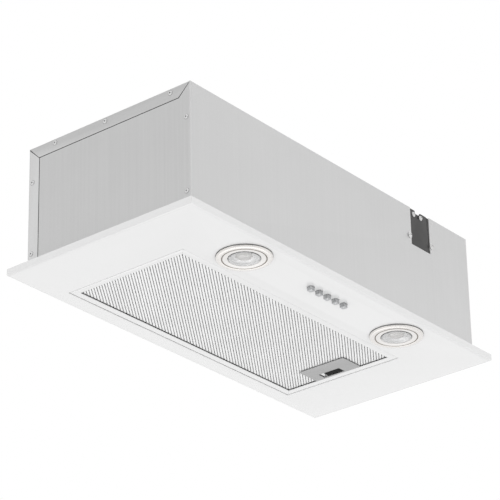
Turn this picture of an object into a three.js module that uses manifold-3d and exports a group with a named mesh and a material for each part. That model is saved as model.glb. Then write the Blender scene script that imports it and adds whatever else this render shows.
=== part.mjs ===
// Built-in cooker hood: white bottom panel, grease filter, lamps, push buttons and sheet housing.
// Millimetres, +Z up. The origin is the centre of the seating plane, on top of the folded rim.
// +X runs along the long side, -Y is the side with the lamps and the buttons.
import * as THREE from "three";
import { mergeVertices } from "three/addons/utils/BufferGeometryUtils.js";
import Module from "manifold-3d";

const wasm = await Module();
wasm.setup();

// ---------------------------------------------------------------- driving dimensions
const panelLength = 525;
const panelWidth = 255;
const rimHeight = 8.5;
const panelSheet = 1.0;
const rimOverhangEnds = 16.2;
const rimOverhangSides = 13.8;
const housingTop = 144;
const wallSheet = 0.8;
const gap = 0.3;
const seam = 0.5;

const filterFromLeft = 57.8;
const filterFromRight = 60.0;
const filterFromBack = 5.5;
const filterFromFront = 60.4;
const filterGap = 1.0;
const filterBand = 8.2;
const filterHeight = 9;
const filterRecess = 0.5;

const lampFromFront = 24.7;
const bezelRadius = 30.25;
const lampNeck = 23.2;

const buttonSize = 6.2;
const buttonPitch = 14.3;
const buttonFromFront = 18.7;
const buttonStandsOut = 4.8;
const buttonTravel = 3.5;
const buttonCount = 5;

const collarRadius = 60;
const collarHeight = 40;
const collarY = 24;
const scrollHalfWidth = 50;
const wheelRadius = 43.5;

// ---------------------------------------------------------------- derived places
const panelBottom = -rimHeight;
const panelTop = panelBottom + panelSheet;
const wallFoot = panelTop + gap;
const halfLength = panelLength / 2 - rimOverhangEnds;
const halfWidth = panelWidth / 2 - rimOverhangSides;
const topUnder = housingTop - wallSheet;
const filterLeft = -halfLength + filterFromLeft;
const filterRight = halfLength - filterFromRight;
const filterFront = -halfWidth + filterFromFront;
const filterBack = halfWidth - filterFromBack;
const lampX = halfLength * 0.5386;
const lampY = -halfWidth + lampFromFront;
const buttonY = -halfWidth + buttonFromFront;
const frameBottom = panelBottom + filterRecess;
const frameTop = frameBottom + filterHeight;
const frameLeft = filterLeft + filterGap;
const frameRight = filterRight - filterGap;
const frameFront = filterFront + filterGap;
const frameBack = filterBack - filterGap;

// ---------------------------------------------------------------- finishes
const finish = (color, roughness, metalness) => ({ color, roughness, metalness });
const whitePaint = finish(0xeeeeec, 0.35, 0.0);
const galvanised = finish(0xc6c8c8, 0.42, 0.9);
const satinSteel = finish(0xb9bab8, 0.35, 0.95);
const satinNickel = finish(0xcfc8be, 0.3, 0.95);
const aluminium = finish(0xc9cbcc, 0.4, 0.9);
const chrome = finish(0xdadcde, 0.12, 1.0);
const blackPlastic = finish(0x2a2b2d, 0.55, 0.0);
const greyPlastic = finish(0x8d9093, 0.6, 0.0);
const whiteCeramic = finish(0xe9e7df, 0.5, 0.0);
const clearGlass = finish(0xd9e0e4, 0.08, 0.0);

// ---------------------------------------------------------------- solid tools
function toSolid(geometry) {
  const bare = geometry.clone();
  bare.deleteAttribute("normal");
  bare.deleteAttribute("uv");
  const joined = mergeVertices(bare, 1e-4);
  return new wasm.Manifold(new wasm.Mesh({
    numProp: 3,
    vertProperties: new Float32Array(joined.attributes.position.array),
    triVerts: new Uint32Array(joined.index.array),
  }));
}

function toGeometry(solid) {
  const mesh = solid.getMesh();
  const geometry = new THREE.BufferGeometry();
  geometry.setAttribute("position", new THREE.BufferAttribute(new Float32Array(mesh.vertProperties), 3));
  geometry.setIndex(new THREE.BufferAttribute(new Uint32Array(mesh.triVerts), 1));
  geometry.computeVertexNormals();
  return geometry;
}

// A block between two opposite corners.
function block(x0, x1, y0, y1, z0, z1) {
  const geometry = new THREE.BoxGeometry(x1 - x0, y1 - y0, z1 - z0);
  geometry.translate((x0 + x1) / 2, (y0 + y1) / 2, (z0 + z1) / 2);
  return toSolid(geometry);
}

// A round bar along x, y or z between two places on that axis.
function bar(axis, radius, from, to, a, b, sides = 24) {
  const geometry = new THREE.CylinderGeometry(radius, radius, to - from, sides);
  const middle = (from + to) / 2;
  if (axis === "x") {
    geometry.rotateZ(-Math.PI / 2);
    geometry.translate(middle, a, b);
  } else if (axis === "y") {
    geometry.translate(a, middle, b);
  } else {
    geometry.rotateX(Math.PI / 2);
    geometry.translate(a, b, middle);
  }
  return toSolid(geometry);
}

// A turned piece about Z; the outline is [radius, z] pairs.
function turned(outline, sides = 40) {
  const points = outline.map(([r, z]) => new THREE.Vector2(r, z));
  const geometry = new THREE.LatheGeometry(points, sides);
  geometry.rotateX(Math.PI / 2);
  let solid = toSolid(geometry);
  if (solid.volume() < 0) {
    solid = toSolid(flipped(geometry));
  }
  return solid;
}

function flipped(geometry) {
  const copy = geometry.clone();
  const index = copy.index.array;
  for (let i = 0; i < index.length; i += 3) {
    const first = index[i];
    index[i] = index[i + 2];
    index[i + 2] = first;
  }
  return copy;
}

// A flat outline of [y, z] pairs given thickness along X.
function plateYZ(outline, x0, x1) {
  const shape = new THREE.Shape(outline.map(([y, z]) => new THREE.Vector2(y, z)));
  const geometry = new THREE.ExtrudeGeometry(shape, { depth: x1 - x0, bevelEnabled: false });
  // shape x, y and depth become world y, z and x
  const place = new THREE.Matrix4().set(
    0, 0, 1, x0,
    1, 0, 0, 0,
    0, 1, 0, 0,
    0, 0, 0, 1,
  );
  geometry.applyMatrix4(place);
  return toSolid(geometry);
}

// A flat outline of [x, y] pairs given thickness along Z.
function plateXY(outline, z0, z1, holes = []) {
  const shape = new THREE.Shape(outline.map(([x, y]) => new THREE.Vector2(x, y)));
  for (const hole of holes) {
    shape.holes.push(new THREE.Path(hole.map(([x, y]) => new THREE.Vector2(x, y))));
  }
  const geometry = new THREE.ExtrudeGeometry(shape, { depth: z1 - z0, bevelEnabled: false });
  geometry.translate(0, 0, z0);
  return toSolid(geometry);
}

function union(list) {
  return list.reduce((sum, next) => sum.add(next));
}

function cut(solid, list) {
  return list.reduce((sum, next) => sum.subtract(next), solid);
}

const hood = new THREE.Group();
hood.name = "cooker_hood";

function add(name, solid, look) {
  const material = new THREE.MeshStandardMaterial({ ...look });
  const mesh = new THREE.Mesh(toGeometry(solid), material);
  mesh.name = name;
  hood.add(mesh);
  return mesh;
}

// ---------------------------------------------------------------- rivets
const rivetHead = 2.6;
const rivetShank = 1.5;
const rivetHole = rivetShank + gap;
const rivetPlaces = [
  [-halfWidth + 26.7, housingTop - 5], [4, housingTop - 5], [halfWidth - 37.7, housingTop - 5],
  [halfWidth - 5.4, housingTop - 42.1], [halfWidth - 5.4, wallFoot + 24.3],
  [-halfWidth + 5.5, housingTop - 40.7], [-halfWidth + 5.5, wallFoot + 25],
];

function rivetHoles(side) {
  return rivetPlaces.map(([y, z]) => {
    const near = side < 0 ? -halfLength - 4 : halfLength - 6;
    return bar("x", rivetHole, near, near + 10, y, z, 10);
  });
}

function rivet(side, y, z) {
  const face = halfLength + gap;
  const outline = [
    [0, face + 1.1], [1.5, face + 0.9], [rivetHead, face], [rivetShank, face],
    [rivetShank, halfLength - 4.2], [0, halfLength - 4.2],
  ];
  const points = outline.map(([r, x]) => new THREE.Vector2(r, x));
  const geometry = new THREE.LatheGeometry(points, 12);
  geometry.rotateZ(side < 0 ? Math.PI / 2 : -Math.PI / 2);
  geometry.translate(0, y, z);
  let solid = toSolid(geometry);
  if (solid.volume() < 0) {
    solid = toSolid(flipped(geometry));
  }
  return solid;
}

// ---------------------------------------------------------------- bottom panel
const lipInnerX = halfLength + 0.7;
const lipInnerY = halfWidth + 0.7;
const px = panelLength / 2;
const py = panelWidth / 2;
const buttonPlaces = Array.from(
  { length: buttonCount },
  (_, i) => (i - (buttonCount - 1) / 2) * buttonPitch,
);
const buttonHole = buttonSize / 2 + 0.35;
const panel = cut(block(-px, px, -py, py, panelBottom, 0), [
  block(-px + panelSheet, px - panelSheet, -py + panelSheet, py - panelSheet, panelTop, -panelSheet),
  block(-lipInnerX, lipInnerX, -lipInnerY, lipInnerY, -panelSheet - 1, 1),
  block(filterLeft, filterRight, filterFront, filterBack, panelBottom - 1, panelTop + 1),
  bar("z", lampNeck + 0.4, panelBottom - 1, panelTop + 1, -lampX, lampY, 32),
  bar("z", lampNeck + 0.4, panelBottom - 1, panelTop + 1, lampX, lampY, 32),
  ...buttonPlaces.map((x) => block(
    x - buttonHole, x + buttonHole,
    buttonY - buttonHole, buttonY + buttonHole,
    panelBottom - 1, panelTop + 1,
  )),
]);
add("bottom_panel", panel, whitePaint);

// ---------------------------------------------------------------- housing sheets
const tabLow = housingTop - 14.5;
const backTabFrom = halfWidth - 14.7;
const frontMitre = 16;
const notchLeft = halfLength - 110.3;
const notchRight = halfLength - 73.8;
const notchFloor = housingTop - 46;
const wallScrews = [[notchLeft - 2.4, notchFloor + 10.1], [notchRight + 2.4, notchFloor + 10.6]];
const screwHole = 1.7;

const frontHalf = halfLength - 1.5;
let frontWall = union([
  block(-frontHalf, frontHalf, -halfWidth, -halfWidth + wallSheet, wallFoot, topUnder - gap),
  block(-frontHalf, -frontHalf + wallSheet, -halfWidth, -halfWidth + 14, wallFoot, tabLow - 3),
  block(frontHalf - wallSheet, frontHalf, -halfWidth, -halfWidth + 14, wallFoot, tabLow - 3),
]);
frontWall = cut(frontWall, [
  block(notchLeft, notchRight, -halfWidth - 1, -halfWidth + 2, notchFloor, housingTop + 1),
  ...wallScrews.map(([x, z]) => bar("y", screwHole + gap, -halfWidth - 1, -halfWidth + 3, x, z, 12)),
  ...rivetHoles(-1),
  ...rivetHoles(1),
]);
add("front_wall", frontWall, galvanised);

// The sheets' folded side tabs are strips of their own, butted against their sheets.
const foldGap = 0.05;

function backTab(side) {
  const outline = [
    [backTabFrom, wallFoot], [halfWidth - wallSheet - foldGap, wallFoot],
    [halfWidth - wallSheet - foldGap, housingTop - 2.1], [backTabFrom, tabLow - 1.0],
  ];
  const outer = side * halfLength;
  const inner = side * (halfLength - wallSheet);
  return plateYZ(outline, Math.min(outer, inner), Math.max(outer, inner));
}

const backFace = halfWidth - wallSheet;
add("back_wall", block(-halfLength, halfLength, backFace, halfWidth, wallFoot, topUnder - gap), galvanised);
add("back_strip_left", cut(backTab(-1), rivetHoles(-1)), galvanised);
add("back_strip_right", cut(backTab(1), rivetHoles(1)), galvanised);

function topTab(side) {
  const outline = [
    [-halfWidth + 1.1, topUnder - foldGap], [-halfWidth + frontMitre, tabLow],
    [backTabFrom + 0.2, tabLow], [halfWidth - 1.2, topUnder - foldGap],
  ];
  const outer = side * halfLength;
  const inner = side * (halfLength - wallSheet);
  return plateYZ(outline, Math.min(outer, inner), Math.max(outer, inner));
}

const topPlate = cut(block(-halfLength, halfLength, -halfWidth, halfWidth, topUnder, housingTop), [
  bar("z", collarRadius - 2.2, topUnder - 1, housingTop + 1, 0, collarY, 48),
  block(notchLeft - 2, notchRight + 2, -halfWidth - 1, -halfWidth + 20, topUnder - 1, housingTop + 1),
]);
add("top_plate", topPlate, galvanised);
add("top_strip_left", cut(topTab(-1), rivetHoles(-1)), galvanised);
add("top_strip_right", cut(topTab(1), rivetHoles(1)), galvanised);

function sidePlate(side) {
  const face = [
    [-halfWidth, wallFoot], [-halfWidth, topUnder - 0.7],
    [-halfWidth + frontMitre - 0.6, tabLow - seam],
    [backTabFrom - seam, tabLow - seam], [backTabFrom - seam, wallFoot],
  ];
  const depth = (near, far) => {
    const a = side * (halfLength - near);
    const b = side * (halfLength - far);
    return [Math.min(a, b), Math.max(a, b)];
  };
  const [f0, f1] = depth(0, wallSheet + 0.4);
  const [b0, b1] = depth(wallSheet + gap, 2 * wallSheet + gap);
  const topBehind = [
    [-halfWidth + frontMitre + 1, tabLow - 3], [halfWidth - 1.4, tabLow - 3],
    [halfWidth - 1.4, topUnder - 0.7], [-halfWidth + 2, topUnder - 0.7],
    [-halfWidth + 2, topUnder - 4],
  ];
  const backBehind = [
    [backTabFrom - 3, wallFoot], [halfWidth - 1.4, wallFoot],
    [halfWidth - 1.4, topUnder - 0.7], [backTabFrom - 3, topUnder - 0.7],
  ];
  const sheet = union([
    plateYZ(face, f0, f1),
    plateYZ(topBehind, b0, b1),
    plateYZ(backBehind, b0, b1),
  ]);
  return cut(sheet, rivetHoles(side));
}
add("side_plate_left", sidePlate(-1), galvanised);
add("side_plate_right", sidePlate(1), galvanised);

rivetPlaces.forEach(([y, z], i) => {
  add(`rivet_left_${i + 1}`, rivet(-1, y, z), satinSteel);
  add(`rivet_right_${i + 1}`, rivet(1, y, z), satinSteel);
});

// ---------------------------------------------------------------- outlet collar and backdraft flaps
const collarBase = housingTop + gap;
const collarTop = housingTop + collarHeight;
const collarBore = collarRadius - 1.6;
const ledgeTop = housingTop + 14;
const flapAxis = ledgeTop + 2.4;
const pinRadius = 1.5;
const knuckleOuter = 3.1;
const collar = cut(turned([
  [collarBore, collarBase], [collarRadius + 8, collarBase], [collarRadius + 8, collarBase + 1.2],
  [collarRadius, collarBase + 1.2], [collarRadius, collarTop], [collarBore, collarTop],
  [collarBore, ledgeTop], [collarBore - 3, ledgeTop], [collarBore - 3, ledgeTop - 1.6],
  [collarBore, ledgeTop - 1.6], [collarBore, collarBase],
], 40).translate([0, collarY, 0]), [
  bar("x", pinRadius + gap, -collarRadius - 2, collarRadius + 2, collarY, flapAxis, 12),
]);
add("outlet_collar", collar, galvanised);
add("flap_pin", bar("x", pinRadius, -collarRadius + 0.4, collarRadius - 0.4, collarY, flapAxis, 16), satinSteel);

function flap(side) {
  const reach = collarBore - 0.5;
  const start = 3.6;
  const outline = [];
  const first = Math.asin(start / reach);
  for (let i = 0; i <= 20; i += 1) {
    const angle = first + (i / 20) * (Math.PI - 2 * first);
    outline.push([reach * Math.cos(angle), reach * Math.sin(angle) * side]);
  }
  let plate = plateXY(outline, ledgeTop + gap, ledgeTop + gap + 1.2);
  if (plate.volume() < 0) {
    plate = plateXY(outline.reverse(), ledgeTop + gap, ledgeTop + gap + 1.2);
  }
  const knuckles = side > 0 ? [-40, 10] : [-16, 34];
  const pieces = [plate.translate([0, collarY, 0])];
  for (const x of knuckles) {
    const y0 = side > 0 ? collarY + 2.0 : collarY - 4.5;
    const ring = bar("x", knuckleOuter, x, x + 6, collarY, flapAxis, 16);
    const web = block(x, x + 6, y0, y0 + 2.5, ledgeTop + gap, ledgeTop + gap + 1.2);
    pieces.push(ring.add(web));
  }
  return cut(union(pieces), [bar("x", pinRadius + gap, -45, 45, collarY, flapAxis, 16)]);
}
add("flap_back", flap(1), aluminium);
add("flap_front", flap(-1), aluminium);

// ---------------------------------------------------------------- blower
const wheelY = collarY - 44;
const wheelZ = housingTop - 68;
const scrollWall = 1.8;
const outletTop = topUnder - 0.8;
const cutoffAngle = 75;
const scrollNear = wheelRadius + 8.5;
const scrollFar = wheelRadius + 30.5;
const inletRadius = wheelRadius - 3.5;

function scrollOutline(offset, top) {
  const points = [];
  const steps = 18;
  for (let i = 0; i <= steps; i += 1) {
    const angle = cutoffAngle + (i / steps) * (360 - cutoffAngle);
    const share = (angle - cutoffAngle) / (360 - cutoffAngle);
    const radius = scrollNear + (scrollFar - scrollNear) * share + offset;
    const turn = (angle * Math.PI) / 180;
    points.push([wheelY + radius * Math.cos(turn), wheelZ + radius * Math.sin(turn)]);
  }
  const cutoff = points[0];
  points.push([wheelY + scrollFar + offset, top]);
  points.push([cutoff[0] - offset * 0.7, top]);
  return points;
}

function scrollHalf(side) {
  const near = gap / 2;
  const span = (a, b) => (side < 0 ? [-b, -a] : [a, b]);
  const [o0, o1] = span(near, scrollHalfWidth);
  const [i0, i1] = span(near - 2, scrollHalfWidth - scrollWall);
  const shell = plateYZ(scrollOutline(scrollWall, outletTop), o0, o1);
  const inside = plateYZ(scrollOutline(0, outletTop + 8), i0, i1);
  const [h0, h1] = span(scrollHalfWidth - 6, scrollHalfWidth + 3);
  return cut(shell, [inside, bar("x", inletRadius, h0, h1, wheelY, wheelZ, 40)]);
}
add("scroll_left", scrollHalf(-1), greyPlastic);
add("scroll_right", scrollHalf(1), greyPlastic);

function wheel() {
  const half = scrollHalfWidth - 6;
  const rings = [-1, 1].map((side) => {
    const a = side < 0 ? -half : half - 1.6;
    return bar("x", wheelRadius, a, a + 1.6, wheelY, wheelZ, 40)
      .subtract(bar("x", wheelRadius - 6.5, a - 1, a + 2.6, wheelY, wheelZ, 40));
  });
  const disc = bar("x", wheelRadius - 0.2, -1, 1, wheelY, wheelZ, 40);
  const boss = bar("x", 7, -9, 9, wheelY, wheelZ, 20);
  const blades = [];
  const bladeCount = 20;
  for (let i = 0; i < bladeCount; i += 1) {
    const blade = new THREE.BoxGeometry(2 * half - 1, 6.4, 1.1);
    blade.rotateX(0.5);
    blade.translate(0, wheelRadius - 3.4, 0);
    blade.rotateX((i / bladeCount) * Math.PI * 2);
    blade.translate(0, wheelY, wheelZ);
    blades.push(toSolid(blade));
  }
  return cut(union([disc, boss, ...rings, ...blades]), [
    bar("x", 3 + gap, -12, 12, wheelY, wheelZ, 16),
  ]);
}
add("impeller", wheel(), blackPlastic);

const motorFrom = scrollHalfWidth + 9;
const motorTo = motorFrom + 42;
const motorRadius = 27;
add("motor_shaft", bar("x", 3, -14, motorTo + 4, wheelY, wheelZ, 16), satinSteel);

function motor() {
  const bore = 3 + gap;
  const outline = [
    [bore, motorFrom - 3], [10, motorFrom - 3], [11, motorFrom], [motorRadius - 3, motorFrom],
    [motorRadius, motorFrom + 3], [motorRadius, motorTo - 3], [motorRadius - 3, motorTo],
    [11, motorTo], [10, motorTo + 2], [bore, motorTo + 2], [bore, motorFrom - 3],
  ];
  return turned(outline, 24).rotate([0, 90, 0]).translate([0, wheelY, wheelZ]);
}
add("motor_body", motor(), satinSteel);

function motorBracket() {
  const inner = motorRadius + gap;
  const ring = bar("x", inner + 3, motorFrom + 12, motorFrom + 20, wheelY, wheelZ, 32);
  const pieces = [ring];
  for (const turn of [90, 210, 330]) {
    const footFrom = inletRadius + 5;
    const spoke = block(motorFrom + 13, motorFrom + 19, inner + 1, footFrom + 4, -5, 5);
    const foot = block(scrollHalfWidth + gap, motorFrom + 19, footFrom, footFrom + 4, -5, 5);
    const leg = spoke.add(foot).rotate([turn, 0, 0]).translate([0, wheelY, wheelZ]);
    pieces.push(leg);
  }
  return cut(union(pieces), [bar("x", inner, motorFrom + 10, motorFrom + 22, wheelY, wheelZ, 32)]);
}
add("motor_bracket", motorBracket(), galvanised);

// ---------------------------------------------------------------- mains terminal box in the notch
const boxFace = -halfWidth + 3;
const boxBehind = -halfWidth + wallSheet + gap;
const boxLeft = notchLeft - 7;
const boxRight = notchRight + 7;
const boxFloor = notchFloor - 4;
const boxTop = topUnder - gap;
const boxBack = -halfWidth + 36;
const channelLeft = notchLeft + 12;
const channelRight = notchLeft + 18;
const clampScrews = [notchLeft + 8.3, notchLeft + 21.7];
const clampScrewZ = boxTop - 4.5;
let terminalBox = union([
  block(boxLeft, boxRight, boxBehind, boxBehind + 2.4, boxFloor, topUnder - gap),
  block(notchLeft + 0.4, notchRight - 0.4, boxFace, boxBack, boxFloor + 0.2, boxTop),
]);
terminalBox = cut(terminalBox, [
  block(notchLeft + 2.4, notchRight - 2.4, boxFace + 2.4, boxBack + 1, boxFloor + 2.4, boxTop - 2.2),
  block(notchLeft + 0.4, notchRight - 0.4, boxBehind - 1, boxFace, notchFloor - 1, boxTop + 1),
  block(channelLeft, channelRight, boxFace - 1, boxFace + 5, boxTop - 10, boxTop + 1),
  ...wallScrews.map(([x, z]) => bar("y", screwHole + gap, -halfWidth, -halfWidth + 5, x, z, 12)),
  ...clampScrews.map((x) => bar("y", 1.3 + gap, boxFace - 1, boxFace + 4, x, clampScrewZ, 12)),
]);
add("terminal_box", terminalBox, blackPlastic);

const clampFace = boxFace - 1.6;
const cableClamp = cut(block(
  notchLeft + 3.5, notchLeft + 27, clampFace, boxFace - gap, boxTop - 7.9, boxTop - 0.8,
), [
  block(channelLeft, channelRight, clampFace - 1, boxFace, boxTop - 3.3, boxTop + 1),
  ...clampScrews.map((x) => bar("y", 1.3 + gap, clampFace - 1, boxFace + 1, x, clampScrewZ, 12)),
]);
add("cable_clamp", cableClamp, blackPlastic);

function screw(x, z, face, head, shank, length) {
  return turned([
    [0, 1.3], [head * 0.45, 1.3], [head * 0.45, 0.9], [head * 0.8, 0.9], [head, 0.2], [head, -0.4],
    [shank, -0.4], [shank, -length], [0, -length],
  ], 14).rotate([90, 0, 0]).translate([x, face - gap - 0.4, z]);
}
clampScrews.forEach((x, i) => {
  add(`clamp_screw_${i + 1}`, screw(x, clampScrewZ, clampFace, 2.7, 1.3, 5.4), chrome);
});
wallScrews.forEach(([x, z], i) => {
  add(`wall_screw_${i + 1}`, screw(x, z, -halfWidth, 3.0, screwHole, 5.6), chrome);
});

// ---------------------------------------------------------------- push buttons
const flangeHalf = buttonSize / 2 + 1.2;
const flangeLow = panelTop + 1.3;
const pocketHalf = flangeHalf + 0.5;
const pocketTop = flangeLow + 1.2 + buttonTravel + 0.8;
const stemHalf = 2.2;
const stemTop = 6;
const blockHalf = (buttonPitch * (buttonCount - 1)) / 2 + pocketHalf + 4;
const switchBlock = cut(block(
  -blockHalf, blockHalf, buttonY - 9.5, buttonY + 9.5, panelTop + gap, 12,
), buttonPlaces.flatMap((x) => [
  block(x - pocketHalf, x + pocketHalf, buttonY - pocketHalf, buttonY + pocketHalf, panelTop, pocketTop),
  block(
    x - stemHalf - 0.3, x + stemHalf + 0.3,
    buttonY - stemHalf - 0.3, buttonY + stemHalf + 0.3, pocketTop - 1, 14,
  ),
]));
add("switch_block", switchBlock, greyPlastic);

function roundedCap(half, z0, z1, chamfer) {
  const c = half - chamfer;
  const cap = block(-half, half, -half, half, z0 + chamfer, z1);
  const corners = [[-c, -c], [c, -c], [c, c], [-c, c]];
  const base = plateXY(corners, z0, z0 + chamfer + 0.1);
  const widths = [[-half, -c], [half, -c], [half, c], [-half, c]];
  const sides = plateXY(widths, z0 + chamfer * 0.4, z1);
  const others = [[-c, -half], [c, -half], [c, half], [-c, half]];
  const ends = plateXY(others, z0 + chamfer * 0.4, z1);
  return union([cap, base, sides, ends]);
}
buttonPlaces.forEach((x, i) => {
  const button = union([
    roundedCap(buttonSize / 2, panelBottom - buttonStandsOut, flangeLow + 0.5, 0.6),
    block(-flangeHalf, flangeHalf, -flangeHalf, flangeHalf, flangeLow, flangeLow + 1.2),
    block(-stemHalf, stemHalf, -stemHalf, stemHalf, flangeLow, stemTop),
  ]).translate([x, buttonY, 0]);
  add(`button_${i + 1}`, button, chrome);
});

// ---------------------------------------------------------------- lamps
const seatDrop = panelBottom - gap;
[["left", -lampX], ["right", lampX]].forEach(([side, x]) => {
  const bezel = turned([
    [lampNeck, panelTop + 4.5], [lampNeck, seatDrop], [bezelRadius, seatDrop],
    [bezelRadius, seatDrop - 0.8], [bezelRadius - 0.8, seatDrop - 2.8],
    [bezelRadius - 2.6, seatDrop - 3.5], [bezelRadius - 4.6, seatDrop - 3.2],
    [24.2, seatDrop - 2.1], [24.2, seatDrop - 0.2], [lampNeck - 1.2, seatDrop - 0.2],
    [lampNeck - 1.2, panelTop + 4.5], [lampNeck, panelTop + 4.5],
  ], 36).translate([x, lampY, 0]);
  add(`lamp_bezel_${side}`, bezel, satinNickel);

  const rim = seatDrop - 0.5;
  const pins = [-5, 5].map((dx) => bar("z", 2.3, 43, 50, x + dx, lampY, 12));
  const lamp = union([turned([
    [0, seatDrop + 0.6], [18.3, seatDrop + 0.6], [18.3, rim - 1.1], [23.0, rim - 1.5],
    [23.8, rim - 0.9], [23.8, rim], [lampNeck - 1.6, rim], [lampNeck - 1.6, -2],
    [20, 6], [15, 22], [10.5, 34], [10.5, 44], [0, 44],
  ], 28).translate([x, lampY, 0]), ...pins]);
  add(`lamp_body_${side}`, lamp, whiteCeramic);

  const lens = turned([
    [0, seatDrop - 0.4], [10, seatDrop - 0.8], [18.0, seatDrop - 1.5],
    [18.0, seatDrop + gap], [0, seatDrop + gap],
  ], 28).translate([x, lampY, 0]);
  add(`lamp_lens_${side}`, lens, clearGlass);

  const holder = cut(block(x - 14, x + 14, lampY - 8, lampY + 8, 44.4, 60), [
    ...[-5, 5].map((dx) => bar("z", 2.6, 43, 52, x + dx, lampY, 12)),
  ]);
  add(`lamp_holder_${side}`, holder, whiteCeramic);
});

// ---------------------------------------------------------------- grease filter
const tabHook = 6;
const tongueLow = frameBottom + 1.3;
const tongueHigh = tongueLow + 1.2;
const middleY = (frameFront + frameBack) / 2;
const tongueFront = middleY - 9.5;
const tongueBack = middleY + 10.5;
let frame = cut(block(frameLeft, frameRight, frameFront, frameBack, frameBottom, frameTop), [
  block(
    frameLeft + filterBand, frameRight - filterBand, frameFront + filterBand,
    frameBack - filterBand, frameBottom - 1, frameTop + 1,
  ),
  block(frameLeft + 1, frameRight - 1, frameFront + 1, frameBack - 1, frameBottom + 1, frameTop - 1),
  block(
    frameRight - 2, frameRight + 1, tongueFront - 1.5, tongueBack + 1.5,
    frameBottom + 1, tongueHigh + 0.4,
  ),
]);
frame = union([frame, ...[-46, 46].map((dy) => block(
  frameLeft - tabHook, frameLeft + 0.5, middleY + dy - 10, middleY + dy + 10,
  panelTop + 0.5, panelTop + 1.7,
))]);
add("filter_frame", frame, whitePaint);

const meshHolesX = 14;
const meshHolesY = 6;
function meshSheet(z0, z1, blocked) {
  const x0 = frameLeft + 1 + gap;
  const x1 = frameRight - 1 - gap;
  const y0 = frameFront + 1 + gap;
  const y1 = frameBack - 1 - gap;
  const insideX0 = frameLeft + filterBand + 2;
  const insideX1 = frameRight - filterBand - 2;
  const insideY0 = frameFront + filterBand + 2;
  const insideY1 = frameBack - filterBand - 2;
  const pitchX = (insideX1 - insideX0) / meshHolesX;
  const pitchY = (insideY1 - insideY0) / meshHolesY;
  const holes = [];
  for (let i = 0; i < meshHolesX; i += 1) {
    for (let j = 0; j < meshHolesY; j += 1) {
      const cx = insideX0 + (i + 0.5) * pitchX;
      const cy = insideY0 + (j + 0.5) * pitchY;
      const hx = pitchX * 0.44;
      const hy = pitchY * 0.44;
      if (blocked && cx + hx > blocked[0] - 1 && cy + hy > blocked[2] - 1 && cy - hy < blocked[3] + 1) {
        continue;
      }
      holes.push([[cx - hx, cy], [cx, cy - hy], [cx + hx, cy], [cx, cy + hy]]);
    }
  }
  const sheet = plateXY([[x0, y0], [x1, y0], [x1, y1], [x0, y1]], z0, z1, holes);
  if (!blocked) {
    return sheet;
  }
  return cut(sheet, [block(blocked[0], blocked[1], blocked[2], blocked[3], z0 - 1, z1 + 1)]);
}
const latchRight = frameRight - filterBand - gap;
const latchLeft = latchRight - 32.7;
const latchFront = middleY - 33.2;
const latchBack = middleY + 30.2;
const latchLow = frameBottom + 0.1;
const latchHigh = latchLow + 0.8;
const behindLatch = [latchLeft + 2, frameRight, middleY - 23.5, middleY + 25.5];
add("filter_mesh_lower", meshSheet(frameBottom + 1.4, frameBottom + 2.4, behindLatch), aluminium);
add("filter_mesh_upper", meshSheet(frameTop - 2.4, frameTop - 1.4, null), aluminium);

// ---------------------------------------------------------------- filter latch
const slotLeft = latchRight - 13.3;
const slotRight = latchRight - 2.2;
const slotFront = middleY - 12.0;
const slotBack = middleY + 17;
const corner = 4;
const latchOutline = [
  [latchLeft, latchFront + corner], [latchLeft + corner * 0.3, latchFront + corner * 0.3],
  [latchLeft + corner, latchFront], [latchRight, latchFront], [latchRight, latchBack],
  [latchLeft + corner, latchBack], [latchLeft + corner * 0.3, latchBack - corner * 0.3],
  [latchLeft, latchBack - corner],
];
const railFrom = latchLeft + 11;
const railTo = latchLeft + 31;
const sliderFront = middleY - 16.5;
const sliderBack = middleY + 20.5;
const railWall = 1;
const railTop = tongueHigh + 1.1;
const rails = [
  [sliderFront - 0.4 - railWall, sliderFront - 0.4, sliderFront - 0.4, sliderFront + 1.6],
  [sliderBack + 0.4, sliderBack + 0.4 + railWall, sliderBack - 1.6, sliderBack + 0.4],
].flatMap(([w0, w1, l0, l1]) => [
  block(railFrom, railTo, w0, w1, latchHigh - 0.3, railTop),
  block(railFrom, railTo, Math.min(l0, w0), Math.max(l1, w1), tongueHigh + gap, railTop),
]);
const latchPlate = cut(union([
  plateXY(latchOutline, latchLow, latchHigh),
  ...rails,
  block(latchLeft + 3, latchLeft + 4, middleY - 4.5, middleY + 5.5, latchHigh - 0.3, railTop),
]), [
  block(slotLeft, slotRight, slotFront, slotBack, latchLow - 1, latchHigh + 0.1),
]);
const fingerLip = block(slotLeft + 0.2, slotRight - 0.2, slotBack - 1.4, slotBack + 0.4, latchLow, latchHigh);
add("latch_plate", latchPlate.add(fingerLip), satinSteel);

const sliderLeft = latchLeft + 13;
const slider = cut(union([
  block(sliderLeft, latchRight + 2.4, sliderFront, sliderBack, tongueLow, tongueHigh),
  block(latchRight + 2, frameRight - 0.3, tongueFront, tongueBack, tongueLow, tongueHigh),
  block(slotLeft - 1.2, slotLeft, slotFront + 1, slotBack - 1, tongueLow, tongueHigh + 3),
]), [
  block(slotLeft, slotRight, slotFront + 1, slotBack - 1, tongueLow - 1, tongueHigh + 1),
]);
add("latch_slider", slider, satinSteel);

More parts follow.
